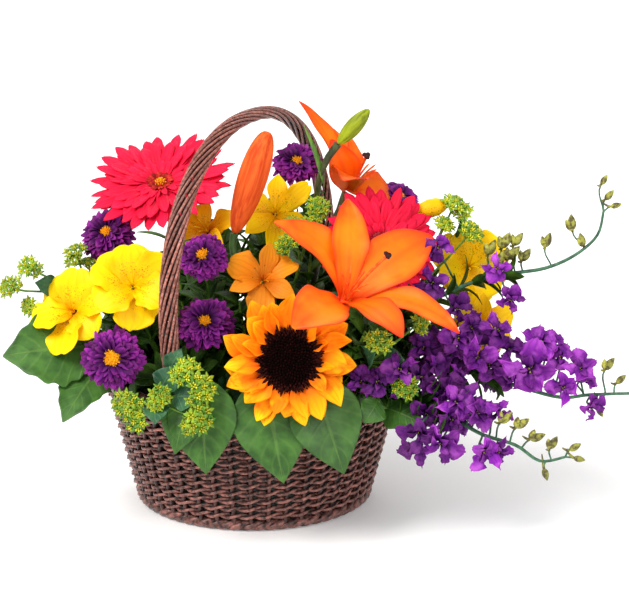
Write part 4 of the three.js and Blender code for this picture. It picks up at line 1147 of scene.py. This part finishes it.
LILIES = (  # name, throat, facing, reach, tips with the tepal's width, kind and sometimes face, stigma
    ("front", (69, -98, 180), (0.27, -0.58, 0.77), 33, (
        (18, -97, 237, 1.1, "left_tepal"), (71, -65, 247, 1.08, "broad_tepal"),
        (132, -71, 221, 1.6, "broad_tepal"), (149, -136, 165, 0.9, "right_tepal"),
        (108, -153, 167, 1.1, "broad_tepal"), (32, -172, 179, 1.45, "broad_tepal")), (98, -125, 219)),
    ("back", (74, 12, 238), (0.5, 0.1, 0.86), 32, (
        (59, -18, 282, 1.0, "broad_tepal", (0.1, -0.9, 0.4)),
        (35, 12, 306, 0.52, "tepal", (0.6, -0.7, 0.4)), (56, 32, 284, 0.5, "tepal", (0.6, -0.7, 0.4)),
        (105, 30, 230, 0.95, "tepal", (0.1, -0.8, 0.6)), (72, 14, 280, 0.5, "tepal", (0.5, -0.8, 0.3)),
        (68, -44, 256, 1.1, "broad_tepal", (0.1, -0.7, 0.7))),
     (86, -4, 267)),
)
LILY_BUD = (V(-12, -47, 217), V(13, -47, 293))
GREEN_BUD = (V(64, -44, 283), V(87, -44, 309))


def lily(name, at, facing, reach, tips, stigma):
    """Six tepals laid from the throat to their tips, bare threads and a long style with a dark end."""
    bloom = Bloom(V(*at), Vector(facing))
    rng = random.Random(len(name) * 7)
    tepals = []
    for k, (x, y, z, wide, kind, *face) in enumerate(tips):
        toward = V(x, y, z) - bloom.at
        angle = math.atan2(toward.dot(bloom.up), toward.dot(bloom.right))
        root = bloom.place(2.5, angle, -2.0 if k % 2 else -1.0)
        faced = Vector(face[0]) if face else bloom.out
        tepals.append(laid(KINDS[kind], root, V(x, y, z), faced, rng.uniform(0.4, 0.62), wide))
    tepals.append(bloom.cushion(-1.5, 6, 3.4, 0.3))
    stand_for(joined(f"{name}_lily_tepals", (tepals, LILY_TEPAL)), "lily_orange", f"lily_{name}_tepals")
    threads = []
    for k in range(6):
        angle = 0.5 + TURN * k / 6
        line = through([bloom.place(1.5, angle, 0), bloom.place(reach * 0.16, angle, reach * 0.5),
                        bloom.place(reach * 0.32, angle, reach * rng.uniform(0.7, 0.85))])
        threads.append(rod(line, [0.8] * (len(line) - 2) + [0.6, 0.4], 6, tone=0.6))
    end = V(*stigma)
    style = through([bloom.at, bloom.at.lerp(end, 0.5) + bloom.out * 4 * MM, end])
    threads.append(rod(style, [1.2] * (len(style) - 2) + [1.4, 1.2], tone=0.4))
    ahead = (style[-1] - style[-3]).normalized()
    lobes = []
    for k in range(3):
        side = ahead.orthogonal().normalized()
        side.rotate(Matrix.Rotation(TURN * k / 3, 3, ahead))
        lobes.append(copy_of(KINDS["dome"], stand_along(end + side * 1.5 * MM, ahead, 2.0), 0.4))
    stamens = joined(f"{name}_lily_stamens", (threads, FILAMENT), (lobes, STIGMA))
    stand_for(stamens, "lily_anther", f"lily_{name}_stamens")
    return bloom


def lilies():
    front, back = lily(*LILIES[0]), lily(*LILIES[1])
    base, tip = LILY_BUD
    bud = copy_of(KINDS["lily_bud"], stand_along(base, tip - base))
    stand_for(joined("orange_lily_bud", ([bud], ORANGE_BUD_SKIN)), "lily_orange", "lily_bud")
    fork = V(26, -58, 138)
    stems = forked_stem(Foot(26, -44), 3.2, fork, (
        (front.place(0, 0, -3), front.out, 2.0), (base, tip - base, 1.3)))
    stems += leaves_along(bend(fork, UP, base, UP), KINDS["narrow"], random.Random(5), 7, 0.0, 0.12,
                          (0.5, 0.8))
    stand_for(joined("front_lily_stem", (stems, LILY_STEM)), "green_stem", "lily_stem_front")
    base, tip = GREEN_BUD
    stems = forked_stem(Foot(28, 4), 3.2, V(48, -2, 178), (
        (back.place(0, 0, -3), back.out, 2.0), (base, tip - base, 1.3)))
    blade = laid(KINDS["narrow"], V(54, -38, 250), V(39, -42, 297), Vector((0.5, -0.8, 0.2)), 0.7, 0.6)
    bud = copy_of(KINDS["green_bud"], stand_along(base, tip - base, 0.82))
    stems = joined("back_lily_stem", (stems, BUD_STALK), ([blade], STEM), ([bud], GREEN_BUD_SKIN))
    stand_for(stems, "lily_green", "lily_stem_back")


# alstroemerias

BROAD_PETALS = (["outer_petal", "lobed_petal"], 1.68, ["outer_petal", "lobed_petal"], 1.5)
OPEN_PETALS = ("outer_petal", 1.0, "slim_petal", 1.25)
ALSTROEMERIAS = (  # name, place, facing, reach, outer and inner petals with their widths, finish
    ("left_a", (-130, -75, 166), (-0.35, -0.8, 0.5), 32, BROAD_PETALS, ALSTROEMERIA_YELLOW),
    ("left_b", (-84, -88, 188), (0.05, -0.85, 0.52), 31, BROAD_PETALS, ALSTROEMERIA_YELLOW),
    ("top_a", (18, -22, 228), (0.1, -0.82, 0.56), 30, ("outer_petal", 0.8, "slim_petal", 1.3),
     ALSTROEMERIA_YELLOW),
    ("top_b", (-34, -20, 214), (-0.3, -0.75, 0.6), 24, OPEN_PETALS, ALSTROEMERIA_AMBER),
    ("top_c", (9, -62, 186), (0.0, -0.85, 0.5), 28, ("outer_petal", 1.15, "slim_petal", 1.3),
     ALSTROEMERIA_GOLD),
    ("right_a", (164, -12, 184), (0.1, -0.85, 0.52), 29, BROAD_PETALS, ALSTROEMERIA_YELLOW),
    ("right_b", (174, -30, 142), (0.3, -0.9, 0.3), 26, OPEN_PETALS, ALSTROEMERIA_AMBER),
)
ALSTROEMERIA_STEMS = (  # name, fork, place in the foam, flowers
    ("left", (-74, -52, 136), (-58, -38), ("left_a", "left_b")),
    ("top", (-2, -22, 160), (-2, -20), ("top_a", "top_b", "top_c")),
    ("right", (112, -8, 140), (70, -8), ("right_a", "right_b")),
)
RIGHT_BUD = (V(148, -10, 232), V(119, -16, 225))


def kind_or_kinds(names):
    return [KINDS[name] for name in names] if isinstance(names, list) else KINDS[names]


def leafy_branch(fork, bloom, low, rng, last, size):
    """Slender leaves along the branch that runs from a fork to a flower."""
    return leaves_along(bend(fork, UP, bloom.place(0, 0, low), bloom.out), KINDS["narrow"], rng, 12, 0.0,
                        last, size)


def alstroemerias():
    blooms = {}
    for index, (name, at, facing, reach, petals, finish) in enumerate(ALSTROEMERIAS):
        bloom = blooms[name] = Bloom(V(*at), Vector(facing))
        rng = random.Random(60 + index)
        outer, outer_wide, inner, inner_wide = petals
        pieces = ray_ring(bloom, kind_or_kinds(outer), rng, 3, 1.5, reach * 1.1, -5.5, 0.2, 0.5,
                          shorten=0.1, roll=0.4, widen=outer_wide, vary=0.12, sway=0.16)
        pieces += ray_ring(bloom, kind_or_kinds(inner), rng, 3, 1.5, reach * 1.04, -4.4, 0.3, 1.55,
                           shorten=0.12, roll=0.4, widen=inner_wide, vary=0.12, sway=0.16)
        for k in range(6):
            angle = 0.3 + k * math.pi / 3
            line = through([bloom.place(0.8, angle, -3), bloom.place(reach * 0.12, angle, reach * 0.18),
                            bloom.place(reach * 0.26, angle, reach * 0.36)], 4)
            pieces.append(rod(line, 0.5, 6, tone=0.3))
            pieces.append(copy_of(KINDS["anther"], stand_along(line[-1], bloom.out, 0.34), 0.0))
        slot = "alstroemeria_gold" if finish is ALSTROEMERIA_GOLD else "alstroemeria_yellow"
        stand_for(joined(f"{name}_alstroemeria", (pieces, finish)), slot, f"alstroemeria_{name}")
    base, tip = RIGHT_BUD
    for side, fork, entry, names in ALSTROEMERIA_STEMS:
        rng = random.Random(len(side))
        ends = [(blooms[name].place(0, 0, -6), blooms[name].out, 2.0) for name in names]
        if side == "right":
            ends.append((base, tip - base, 1.2))
        green = forked_stem(Foot(*entry), 2.2, V(*fork), ends)
        for name in names:
            green += leafy_branch(V(*fork), blooms[name], -6, rng, 0.6, (0.45, 0.9))
        groups = [(green, NARROW_LEAF)]
        if side == "right":
            under = base - (tip - base).normalized() * 2 * MM
            cup = copy_of(KINDS["bud"], stand_along(under, tip - base, 1.1), 0.7)
            bud = copy_of(KINDS["bud"], stand_along(base, tip - base, 2.1, stretch=1.2), 0.4)
            groups += [([cup], LIME), ([bud], ALSTROEMERIA_AMBER)]
        slot = "alstroemeria_green" if side == "right" else "green_stem"
        stand_for(joined(f"{side}_alstroemeria_stem", *groups), slot, f"alstroemeria_stem_{side}")


# asters

ASTERS = (  # name, place, facing, reach, radius of the gold eye
    ("left_high", (-108, -18, 210), (-0.3, -0.66, 0.69), 24, 6.2),
    ("left_low", (-97, -112, 140), (-0.15, -0.93, 0.3), 25, 8.6),
    ("middle_high", (-34, -66, 204), (-0.15, -0.74, 0.65), 20, 6.6),
    ("middle_low", (-32, -88, 160), (-0.05, -0.72, 0.69), 23, 6.2),
    ("top", (34, 12, 258), (0, -0.62, 0.78), 21, 5.6),
    ("back", (112, 34, 226), (0.35, -0.45, 0.8), 18, 4.6),
)
ASTER_RINGS = (  # share of the reach, tilt, height, count, lightest tone
    (1.0, -0.04, -2.2, 24, 0.9), (0.98, 0.1, -1.6, 24, 0.95), (0.92, 0.24, -1.0, 22, 1.0),
    (0.83, 0.4, -0.4, 20, 0.9), (0.7, 0.56, 0.2, 18, 0.7), (0.56, 0.74, 0.5, 16, 0.35),
)
ASTER_STEMS = (  # name, fork, place in the foam, flowers
    ("left", (-84, -30, 132), (-70, -18), ("left_high", "left_low")),
    ("middle", (-30, -56, 128), (-26, -52), ("middle_high", "middle_low")),
    ("top", (46, 32, 150), (36, 26), ("top", "back")),
)


def asters():
    blooms = {}
    for index, (name, at, facing, reach, heart) in enumerate(ASTERS):
        bloom = blooms[name] = Bloom(V(*at), Vector(facing))
        rng = random.Random(90 + index)
        rays = []
        for layer, (share, tilt, low, count, bright) in enumerate(ASTER_RINGS):
            rays += ray_ring(bloom, KINDS["aster"], rng, count, heart * 0.6, reach * share, low, tilt,
                             layer * 0.13, (0.0, bright), 0.2, 0.9, 1.3, 0.25)
        stand_for(joined(f"{name}_aster_rays", (rays, ASTER_RAY)), "aster_purple", f"aster_{name}_rays")
        eye = [bloom.cushion(1.4, heart, 2.8, 0.3)]
        eye += nub_field(bloom, KINDS["nub"], rng, 56, heart, 1.8, 2.6, (0.3, 1.0), (0.6, 0.95))
        stand_for(joined(f"{name}_aster_eye", (eye, GOLD_EYE)), "aster_gold", f"aster_{name}_eye")
    for side, fork, entry, names in ASTER_STEMS:
        rng = random.Random(len(side) + 40)
        ends = [(blooms[name].place(0, 0, -2.7), blooms[name].out, 2.0) for name in names]
        green = forked_stem(Foot(*entry), 2, V(*fork), ends)
        for name in names:
            green += calyx(blooms[name], 6.5, -1.8)
            green += leafy_branch(V(*fork), blooms[name], -2.7, rng, 0.85, (0.45, 0.85))
        stand_for(joined(f"{side}_aster_stem", (green, NARROW_LEAF)), "green_stem", f"aster_stem_{side}")


# larkspurs

LARKSPURS = (  # name, place in the foam, line, florets with their reach, buds with their length
    ("upper", (62, -40),
     ((118, -46, 158), (162, -46, 179), (190, -42, 185), (218, -40, 189), (240, -40, 199), (256, -40, 214),
      (260, -40, 232)),
     ((136, -78, 214, 11), (132, -88, 190, 13), (190, -64, 172, 11), (181, -60, 194, 11),
      (150, -74, 168, 12)),
     ((174, -45, 206, 13), (184, -44, 211, 14), (190, -46, 203, 14), (181, -44, 198, 13),
      (194, -42, 212, 12), (200, -42, 200, 12), (216, -40, 210, 12), (234, -40, 222, 13),
      (243, -40, 209, 11), (261, -40, 245, 10), (257, -40, 256, 9), (268, -40, 238, 9))),
    ("middle", (66, -56),
     ((122, -70, 124), (162, -62, 115), (200, -60, 103), (230, -60, 95), (252, -60, 97), (281, -60, 98),
      (302, -60, 98)),
     ((150, -82, 146, 14), (166, -80, 132, 14), (180, -66, 148, 14), (204, -84, 124, 21),
      (214, -62, 138, 14), (230, -72, 106, 13), (244, -64, 117, 14), (252, -66, 90, 11),
      (144, -74, 136, 14), (154, -64, 125, 15), (164, -62, 142, 13), (150, -62, 116, 14),
      (174, -70, 122, 14), (190, -64, 132, 13), (229, -62, 126, 11), (125, -84, 139, 13),
      (136, -80, 128, 14), (192, -62, 112, 13), (178, -58, 108, 12)),
     ((262, -62, 122, 12), (272, -60, 110, 10), (258, -60, 84, 10), (304, -60, 101, 7))),
    ("lower", (56, -66),
     ((104, -100, 112), (126, -106, 106), (148, -112, 95), (168, -115, 84), (192, -115, 76),
      (210, -115, 64), (228, -115, 67)),
     ((92, -120, 124, 12), (108, -122, 134, 13), (122, -128, 92, 15), (138, -130, 84, 16),
      (147, -122, 110, 14), (162, -126, 104, 13), (167, -126, 76, 14), (133, -106, 110, 14),
      (144, -102, 111, 14), (154, -108, 106, 14), (168, -112, 100, 12), (179, -110, 98, 10),
      (122, -106, 124, 13), (112, -110, 120, 12), (128, -112, 100, 13), (150, -112, 94, 12)),
     ((182, -115, 98, 12), (194, -115, 94, 12), (206, -115, 84, 12), (216, -115, 78, 11),
      (233, -115, 76, 10), (212, -115, 54, 10), (238, -115, 66, 9))),
)
FLORET_REACH = 13
FLORET_KINDS = ((77, 0.1), (78, 0.32), (79, -0.08))  # seed and tilt
BUD_LENGTH = 12
ANY_TURN = (0, 6.28)


def make_floret(seed, tilt):
    """One larkspur flower: five sepals laid open, a few short petals, pale stamens and a spur behind."""
    bloom = Bloom(V(0, 0, 0), Vector((0, -0.001, 1)))
    rng = random.Random(seed)
    petals = ray_ring(bloom, [KINDS["sepal"], KINDS["torn_sepal"]], rng, 5, 1.2, FLORET_REACH, 0.2, tilt,
                      0.3, (0.25, 0.8), 0.34, 0.6, 1.02, 0.28, 0.22)
    petals += ray_ring(bloom, KINDS["short_petal"], rng, 4, 0.8, 7.4, 0.9, 0.45, 0.8, (0.1, 0.5), 0.3, 0.6,
                       0.5)
    spur = through([bloom.place(0, 0, 0.6), bloom.place(0.6, 1.57, -3.5), bloom.place(2.6, 1.57, -7.5)], 3)
    petals.append(rod(spur, [1.7, 1.6, 1.5, 1.4, 1.1, 0.8, 0.5], 6, tone=0.3))
    tuft = nub_field(bloom, KINDS["nub"], rng, 4, 1.5, 1.2, 1.2, size=(0.5, 0.7))
    return model(joined("larkspur_floret", (petals, LARKSPUR_SEPAL), (tuft, LIME_FLORET)))


def crowded(florets, rng):
    """The florets, with one more beside every second one."""
    crowd = list(florets)
    for x, y, z, reach in florets[::2]:
        angle = rng.uniform(0, TURN)
        off = rng.uniform(8, 15)
        crowd.append((x + off * math.cos(angle), y + rng.uniform(2, 14), z + off * math.sin(angle),
                      reach * rng.uniform(0.7, 0.95)))
    return crowd


def larkspur_bud(spine, ahead, at, length, rng):
    """A drooping bud with its spur, often one more beside it, and the bud's stalk."""
    near = nearest_on(spine, at)
    way = at - near
    if way.length < 4 * MM:
        way = ahead
    way = way.normalized()
    base = at - way * (length * 0.45 * MM)
    droop = (way + Vector((0.55, 0, -0.25))).normalized()
    buds = []
    if length > 10:
        beside = (droop + Vector((-0.7, -0.2, 0.3))).normalized()
        buds.append(copy_of(KINDS["spur_bud"], stand_along(base, beside, length * 0.8 / BUD_LENGTH), 0.9))
    spot = stand_along(base, droop, length / BUD_LENGTH, rng.uniform(*ANY_TURN))
    buds.append(copy_of(KINDS["spur_bud"], spot, rng.uniform(0.2, 0.8)))
    tail = through([base, base - droop * 3 * MM + UP * 2 * MM, base - droop * 6 * MM + UP * 5 * MM], 3)
    buds.append(rod(tail, [1.2, 1.1, 1.0, 0.9, 0.8, 0.6, 0.4], 6, tone=0.3))
    return buds, rod(bend(near, way, base, droop, 5), 0.7, 6, tone=0.4)


def larkspurs():
    kinds = [make_floret(*kind) for kind in FLORET_KINDS]
    for index, (name, entry, line, florets, buds) in enumerate(LARKSPURS):
        rng = random.Random(120 + index)
        foot = Foot(*entry)
        points = [V(*point) for point in line]
        spine = foot.rise(points[0], (points[1] - foot.high).normalized(), 8) + through(points, 5)[1:]
        radii = [2.0 - 1.0 * i / (len(spine) + 1) for i in range(len(spine) + 2)]
        green, purple, closed = [foot.stem(spine, radii)], [], []
        upper = name == "upper"
        for x, y, z, reach in florets if upper else crowded(florets, rng):
            at = V(x, y, z)
            near = nearest_on(spine, at)
            turned = Vector((rng.uniform(-0.3, 0.7), -0.8, rng.uniform(-0.4, 0.5)))
            facing = ((at - near).normalized() * 0.7 + turned).normalized()
            bloom = Bloom(at, facing)
            # florets with x under 132 mm, close to the basket, and higher ones under 168 mm are darkened:
            # painted shade among the foliage
            shade = 0.55 if x < 132 else 0.3 if x < 168 and z > 100 else 0.0
            kind = rng.choice(kinds)
            spot = bloom.matrix(0, 1.16 * reach / FLORET_REACH, rng.uniform(*ANY_TURN))
            purple.append(retoned(kind, spot, 0.3, rng, shade))
            stalk = bend(near, (at - near).normalized(), bloom.place(0, 0, -5), facing, 5)
            green.append(rod(stalk, 0.8, 6, tone=0.4))
        for *at, length in buds:
            more, stalk = larkspur_bud(spine, points[-1] - points[-2], V(*at), length, rng)
            closed += more
            green.append(stalk)
        leafy = spine[4:] if upper else spine
        leaves = leaves_along(leafy, KINDS["narrow"], rng, 26, 0.1, 0.42, (0.4, 0.85), (0.0, 0.5))
        if not upper:
            leaves += leaves_along(spine, KINDS["sprig_leaf"], rng, 18, 0.18, 0.42, (0.5, 0.85),
                                   (0.0, 0.4), 0.95)
        purple = join("purple", purple)
        green = joined("green", (green, LARKSPUR_STEM), (leaves, NARROW_LEAF))
        closed = joined("closed", (closed, LARKSPUR_BUD))
        spike = join(f"{name}_larkspur", [purple, green, closed])
        stand_for(spike, "larkspur_violet", f"larkspur_{name}")


# bupleurums

BUPLEURUMS = (  # name, fork, place in the foam, heads with their reach, round leaves with their reach, nodes
    ("left", (-118, -46, 166), (-74, -2),
     ((-177, -66, 181, 9), (-163, -62, 196, 9), (-162, -64, 166, 8), (-131, -32, 200, 10),
      (-122, -26, 190, 9)),
     ((-150, -52, 178, 9),), ["bupleurum_left"]),
    ("front", (-67, -120, 112), (-58, -56),
     ((-88, -132, 113, 11), (-80, -135, 101, 10), (-42, -134, 138, 11), (-32, -138, 126, 12),
      (-34, -146, 106, 12), (-62, -136, 120, 9)),
     ((-66, -134, 106, 11), (-57, -126, 130, 11), (-43, -130, 117, 12), (-52, -120, 141, 9)),
     ["bupleurum_front"]),
    ("top", (36, -34, 190), (14, -30),
     ((50, -40, 236, 10), (42, -44, 222, 9), (26, -56, 210, 9), (30, -48, 222, 8)), ((30, -66, 202, 8),),
     ["bupleurum_top"]),
    ("right", (112, -30, 160), (58, 8), ((152, -14, 232, 11), (163, -30, 214, 11), (144, -22, 218, 9)),
     ((134, -28, 200, 9),), ["bupleurum_right"]),
    ("side", (84, -92, 130), (50, -60), ((94, -118, 154, 10), (113, -120, 121, 10), (123, -100, 165, 8)),
     ((104, -112, 138, 10), (88, -108, 140, 11)), []),
)
UMBEL_REACH = 10.5


def make_umbel():
    """A flat head of small starry flowers, each with five bracts round a tuft of florets."""
    rng = random.Random(55)
    bracts, tufts = [], []
    for k in range(7):
        radius, angle, height = (6.4, TURN * (k - 1) / 6, 0) if k else (0, 0, 1.2)
        out = Vector((0.35 * math.cos(angle), 0.35 * math.sin(angle), 1)) if k else Vector((0, -0.001, 1))
        star = Bloom(around(radius, angle, height), out)
        bracts += ray_ring(star, KINDS["bract"], rng, 5, 0.4, 5.0, 0, 0.45, rng.uniform(0, 1), (0.3, 0.9))
        tufts += nub_field(star, KINDS["nub"], rng, 8, 2.2, 0.8, 1.4, (0.3, 0.9), (0.7, 1.0))
        tufts.append(rod([V(0, 0, -8), star.at], 0.45, 4, tone=0.2))
    return model(join("umbel_bracts", bracts)), model(join("umbel_tufts", tufts))


def bupleurums():
    bracts, tufts = make_umbel()
    for index, (name, fork, entry, stars, rounds, nodes) in enumerate(BUPLEURUMS):
        rng = random.Random(140 + index)
        foot, fork = Foot(*entry), V(*fork)
        lean = (fork - foot.high).normalized()
        stems = [foot.stem(foot.rise(fork, lean, 10), 1.3, 0.4)]
        heads, yellow, leaves = [], [], []

        def branch(target, arriving):
            return rod(bend(fork - lean * 3 * MM, lean, target, arriving, 6, 0.34), 0.9, 6, tone=0.4)

        for *at, reach in stars:
            facing = ((V(*at) - fork).normalized() + Vector((0, -0.8, 0.4))).normalized()
            bloom = Bloom(V(*at), facing)
            lower = bloom.place(reach * rng.uniform(0.5, 0.8), rng.uniform(*ANY_TURN), -3)
            beside = Bloom(lower, facing + Vector((rng.uniform(-0.6, 0.6), 0, rng.uniform(-0.6, 0.4))))
            for head, size in ((bloom, 0.95), (beside, 0.75)):
                spot = head.matrix(0, size * reach / UMBEL_REACH, rng.uniform(*ANY_TURN))
                heads.append(retoned(bracts, spot, 0.3, rng))
                yellow.append(retoned(tufts, spot, 0.3, rng))
            stems.append(branch(bloom.place(0, 0, -6), facing))
        for *at, reach in rounds:
            at, away = V(*at), (V(*at) - fork).normalized()
            leaves.append(laid(KINDS["leaf"], at - away * reach * MM, at + away * reach * 1.1 * MM,
                               Vector((0.1, -0.85, 0.5)), 0.5, 1.9 * reach / 36))
            stems.append(branch(at - away * reach * 0.8 * MM, away))
        spray = joined(f"{name}_bupleurum", (heads, LIME_LEAF), (leaves, ROUND_LEAF), (stems, LIME),
                       (yellow, LIME_FLORET))
        stand_for(spray, "bupleurum_lime", *nodes)


# leafy stems

LEAFY = (  # name, place in the foam, line, leaves with base, tip, width and face
    ("left", (-72, -30), ((-104, -62, 128), (-112, -72, 130)), (
        ((-112, -76, 140), (-179, -92, 136), 38, (0, -.8, .6)),
        ((-106, -78, 128), (-133, -124, 96), 24, (-.3, -.85, .45)),
        ((-114, -66, 130), (-168, -54, 142), 28, (0, -.5, .8)),
        ((-100, -54, 122), (-124, 12, 126), 32, (.2, -.5, .8)))),
    ("front_left", (-14, -74), ((-20, -112, 112), (-24, -122, 112)), (
        ((-35, -118, 130), (-30, -138, 62), 32, (0, -.98, .2)),
        ((-38, -118, 126), (-52, -138, 77), 24, (-.3, -.95, .2)))),
    ("front_middle", (4, -78), ((10, -110, 108), (14, -120, 110)), (
        ((10, -118, 132), (25, -140, 56), 36, (0, -.98, .2)),
        ((44, -118, 130), (68, -138, 62), 34, (.2, -.97, .2)))),
    ("right", (42, -70), ((84, -98, 108), (92, -108, 110)), (
        ((92, -116, 110), (82, -126, 96), 14, (.2, -.97, .2)),
        ((98, -102, 100), (125, -119, 93), 20, (.3, -.85, .5)))),
    ("back", (-6, 58), ((-7, 64, 122), (-8, 68, 152)), (
        ((-12, 68, 152), (-70, 72, 206), 44, (-.2, -.8, .5)),
        ((-4, 68, 152), (46, 78, 208), 42, (.2, -.8, .5)),
        ((-12, 68, 138), (-96, 60, 164), 42, (-.2, -.7, .6)),
        ((-4, 67, 136), (86, 70, 164), 40, (.2, -.7, .6)),
        ((-10, 66, 126), (-72, 94, 118), 42, (-.2, .5, .8)),
        ((-4, 66, 126), (76, 84, 116), 38, (.2, .5, .8)), ((-8, 70, 130), (-8, 124, 120), 42, (0, .5, .8)),
        ((-10, 62, 118), (-66, 34, 112), 34, (-.1, -.2, .95)),
        ((-4, 60, 116), (16, 12, 116), 26, (.1, -.2, .95)))),
)
SPRIGS = {  # place in the foam, then the head's place
    "left": ((-60, -40, -96, -68, 124), (-66, -22, -112, -40, 142), (-56, -6, -92, -10, 160),
             (-40, -56, -66, -92, 122), (-70, 6, -112, 6, 132), (-74, -14, -116, -22, 118),
             (-66, 24, -100, 34, 116)),
    "front_left": ((-20, -42, -34, -52, 168), (-40, -18, -54, -28, 176), (0, -52, -8, -62, 170),
                   (-30, -60, -44, -88, 128)),
    "front_middle": ((34, -20, 44, -26, 196), (18, -30, 16, -36, 190), (50, -50, 66, -66, 150),
                     (24, -64, 40, -92, 128), (40, -56, 64, -80, 134), (44, -40, 74, -56, 166)),
    "right": ((54, -48, 104, -72, 132), (64, -28, 128, -42, 142), (46, -64, 92, -96, 120),
              (72, -10, 118, -14, 172), (64, -44, 96, -60, 156), (70, 10, 122, 6, 150),
              (58, -52, 84, -74, 150), (60, -40, 112, -56, 156), (68, -34, 136, -58, 124),
              (56, -60, 110, -88, 118), (72, -20, 140, -36, 150)),
    "back": ((-34, 40, -62, 52, 192), (42, 48, 66, 60, 192), (0, 64, 2, 84, 176), (-60, 30, -104, 40, 152),
             (62, 30, 112, 40, 162), (26, 30, 34, 26, 220), (-20, 20, -22, 10, 210),
             (-48, 56, -80, 84, 150), (44, 62, 70, 92, 150), (10, 10, 8, 4, 214), (20, 74, 32, 112, 124),
             (-24, 74, -38, 112, 126), (70, 34, 116, 54, 120), (-52, 60, -86, 88, 116),
             (54, 58, 92, 84, 122)),
}


def sprigs(name, rng):
    """Upright sprigs of small dark leaves that fill the gaps between the flowers."""
    stems, leaves = [], []
    for x, y, *head in SPRIGS[name]:
        foot, head = Foot(x, y), V(*head)
        line = foot.rise(head, (head - foot.high).normalized() * 0.5 + UP * 0.5, 14)
        stems.append(foot.stem(line, [1.3] * (len(line) + 1) + [0.6], 0.3, 6))
        leaves += leaves_along(line, KINDS["sprig_leaf"], rng, 15, 0.2, 1.0, (0.6, 1.0), (0.1, 0.8), 0.95)
    return stems, leaves


def leafy_stems():
    for index, (name, entry, line, blades) in enumerate(LEAFY):
        fullness = 1.15 if name == "back" else 1.6
        kind = KINDS["toothed_leaf" if name == "left" else "leaf"]
        rng = random.Random(170 + index)
        foot = Foot(*entry)
        first, last = V(*line[0]), V(*line[1])
        spine = foot.rise(first, (last - foot.high).normalized(), 8) + [last]
        stems, leaves = [foot.stem(spine, 1.6, 0.4)], []
        for base, tip, width, face in blades:
            base, tip = V(*base), V(*tip)
            near, away = nearest_on(spine, base), (tip - base).normalized()
            stalk = bend(near, (base - near).normalized(), base + away * 2 * MM, away, 5)
            stems.append(rod(stalk, 1.2, 6, tone=0.4))
            leaves.append(laid(kind, base, tip, Vector(face), rng.uniform(0.3, 0.7), width * fullness / 36))
        sprig_stems, small = sprigs(name, rng)
        spray = joined(f"{name}_leafy_stem", (leaves, LEAF), (small, NARROW_LEAF), (stems, STEM),
                       (sprig_stems, LIME))
        stand_for(spray, "leaf_green", f"leaves_{name}")


# the scene

def lay_floor():
    clear_selection()
    bpy.ops.mesh.primitive_plane_add(size=14)
    ground = started("pale_floor")
    material, tree, shader, coords = start_material("pale_floor", 0.9)
    shader["Emission Color"].default_value = (1, 1, 1, 1)
    shader["Emission Strength"].default_value = 0.11
    colour = ramp(tree, noise(tree, coords["Object"], 3.0, 3.0), ((0.3, "#f4f4f4"), (0.7, "#fafafa")))
    tree.links.new(colour, shader["Base Color"])
    dress(ground, material)


set_camera()
set_light()
lay_floor()
dress(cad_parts["liner"], LINER)
dress(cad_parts["floral_foam"], FOAM)
woven_wall()
borders()
twisted_handle()
sunflower()
gerberas()
lilies()
alstroemerias()
asters()
larkspurs()
bupleurums()
leafy_stems()
for piece in models:
    bpy.data.objects.remove(piece)
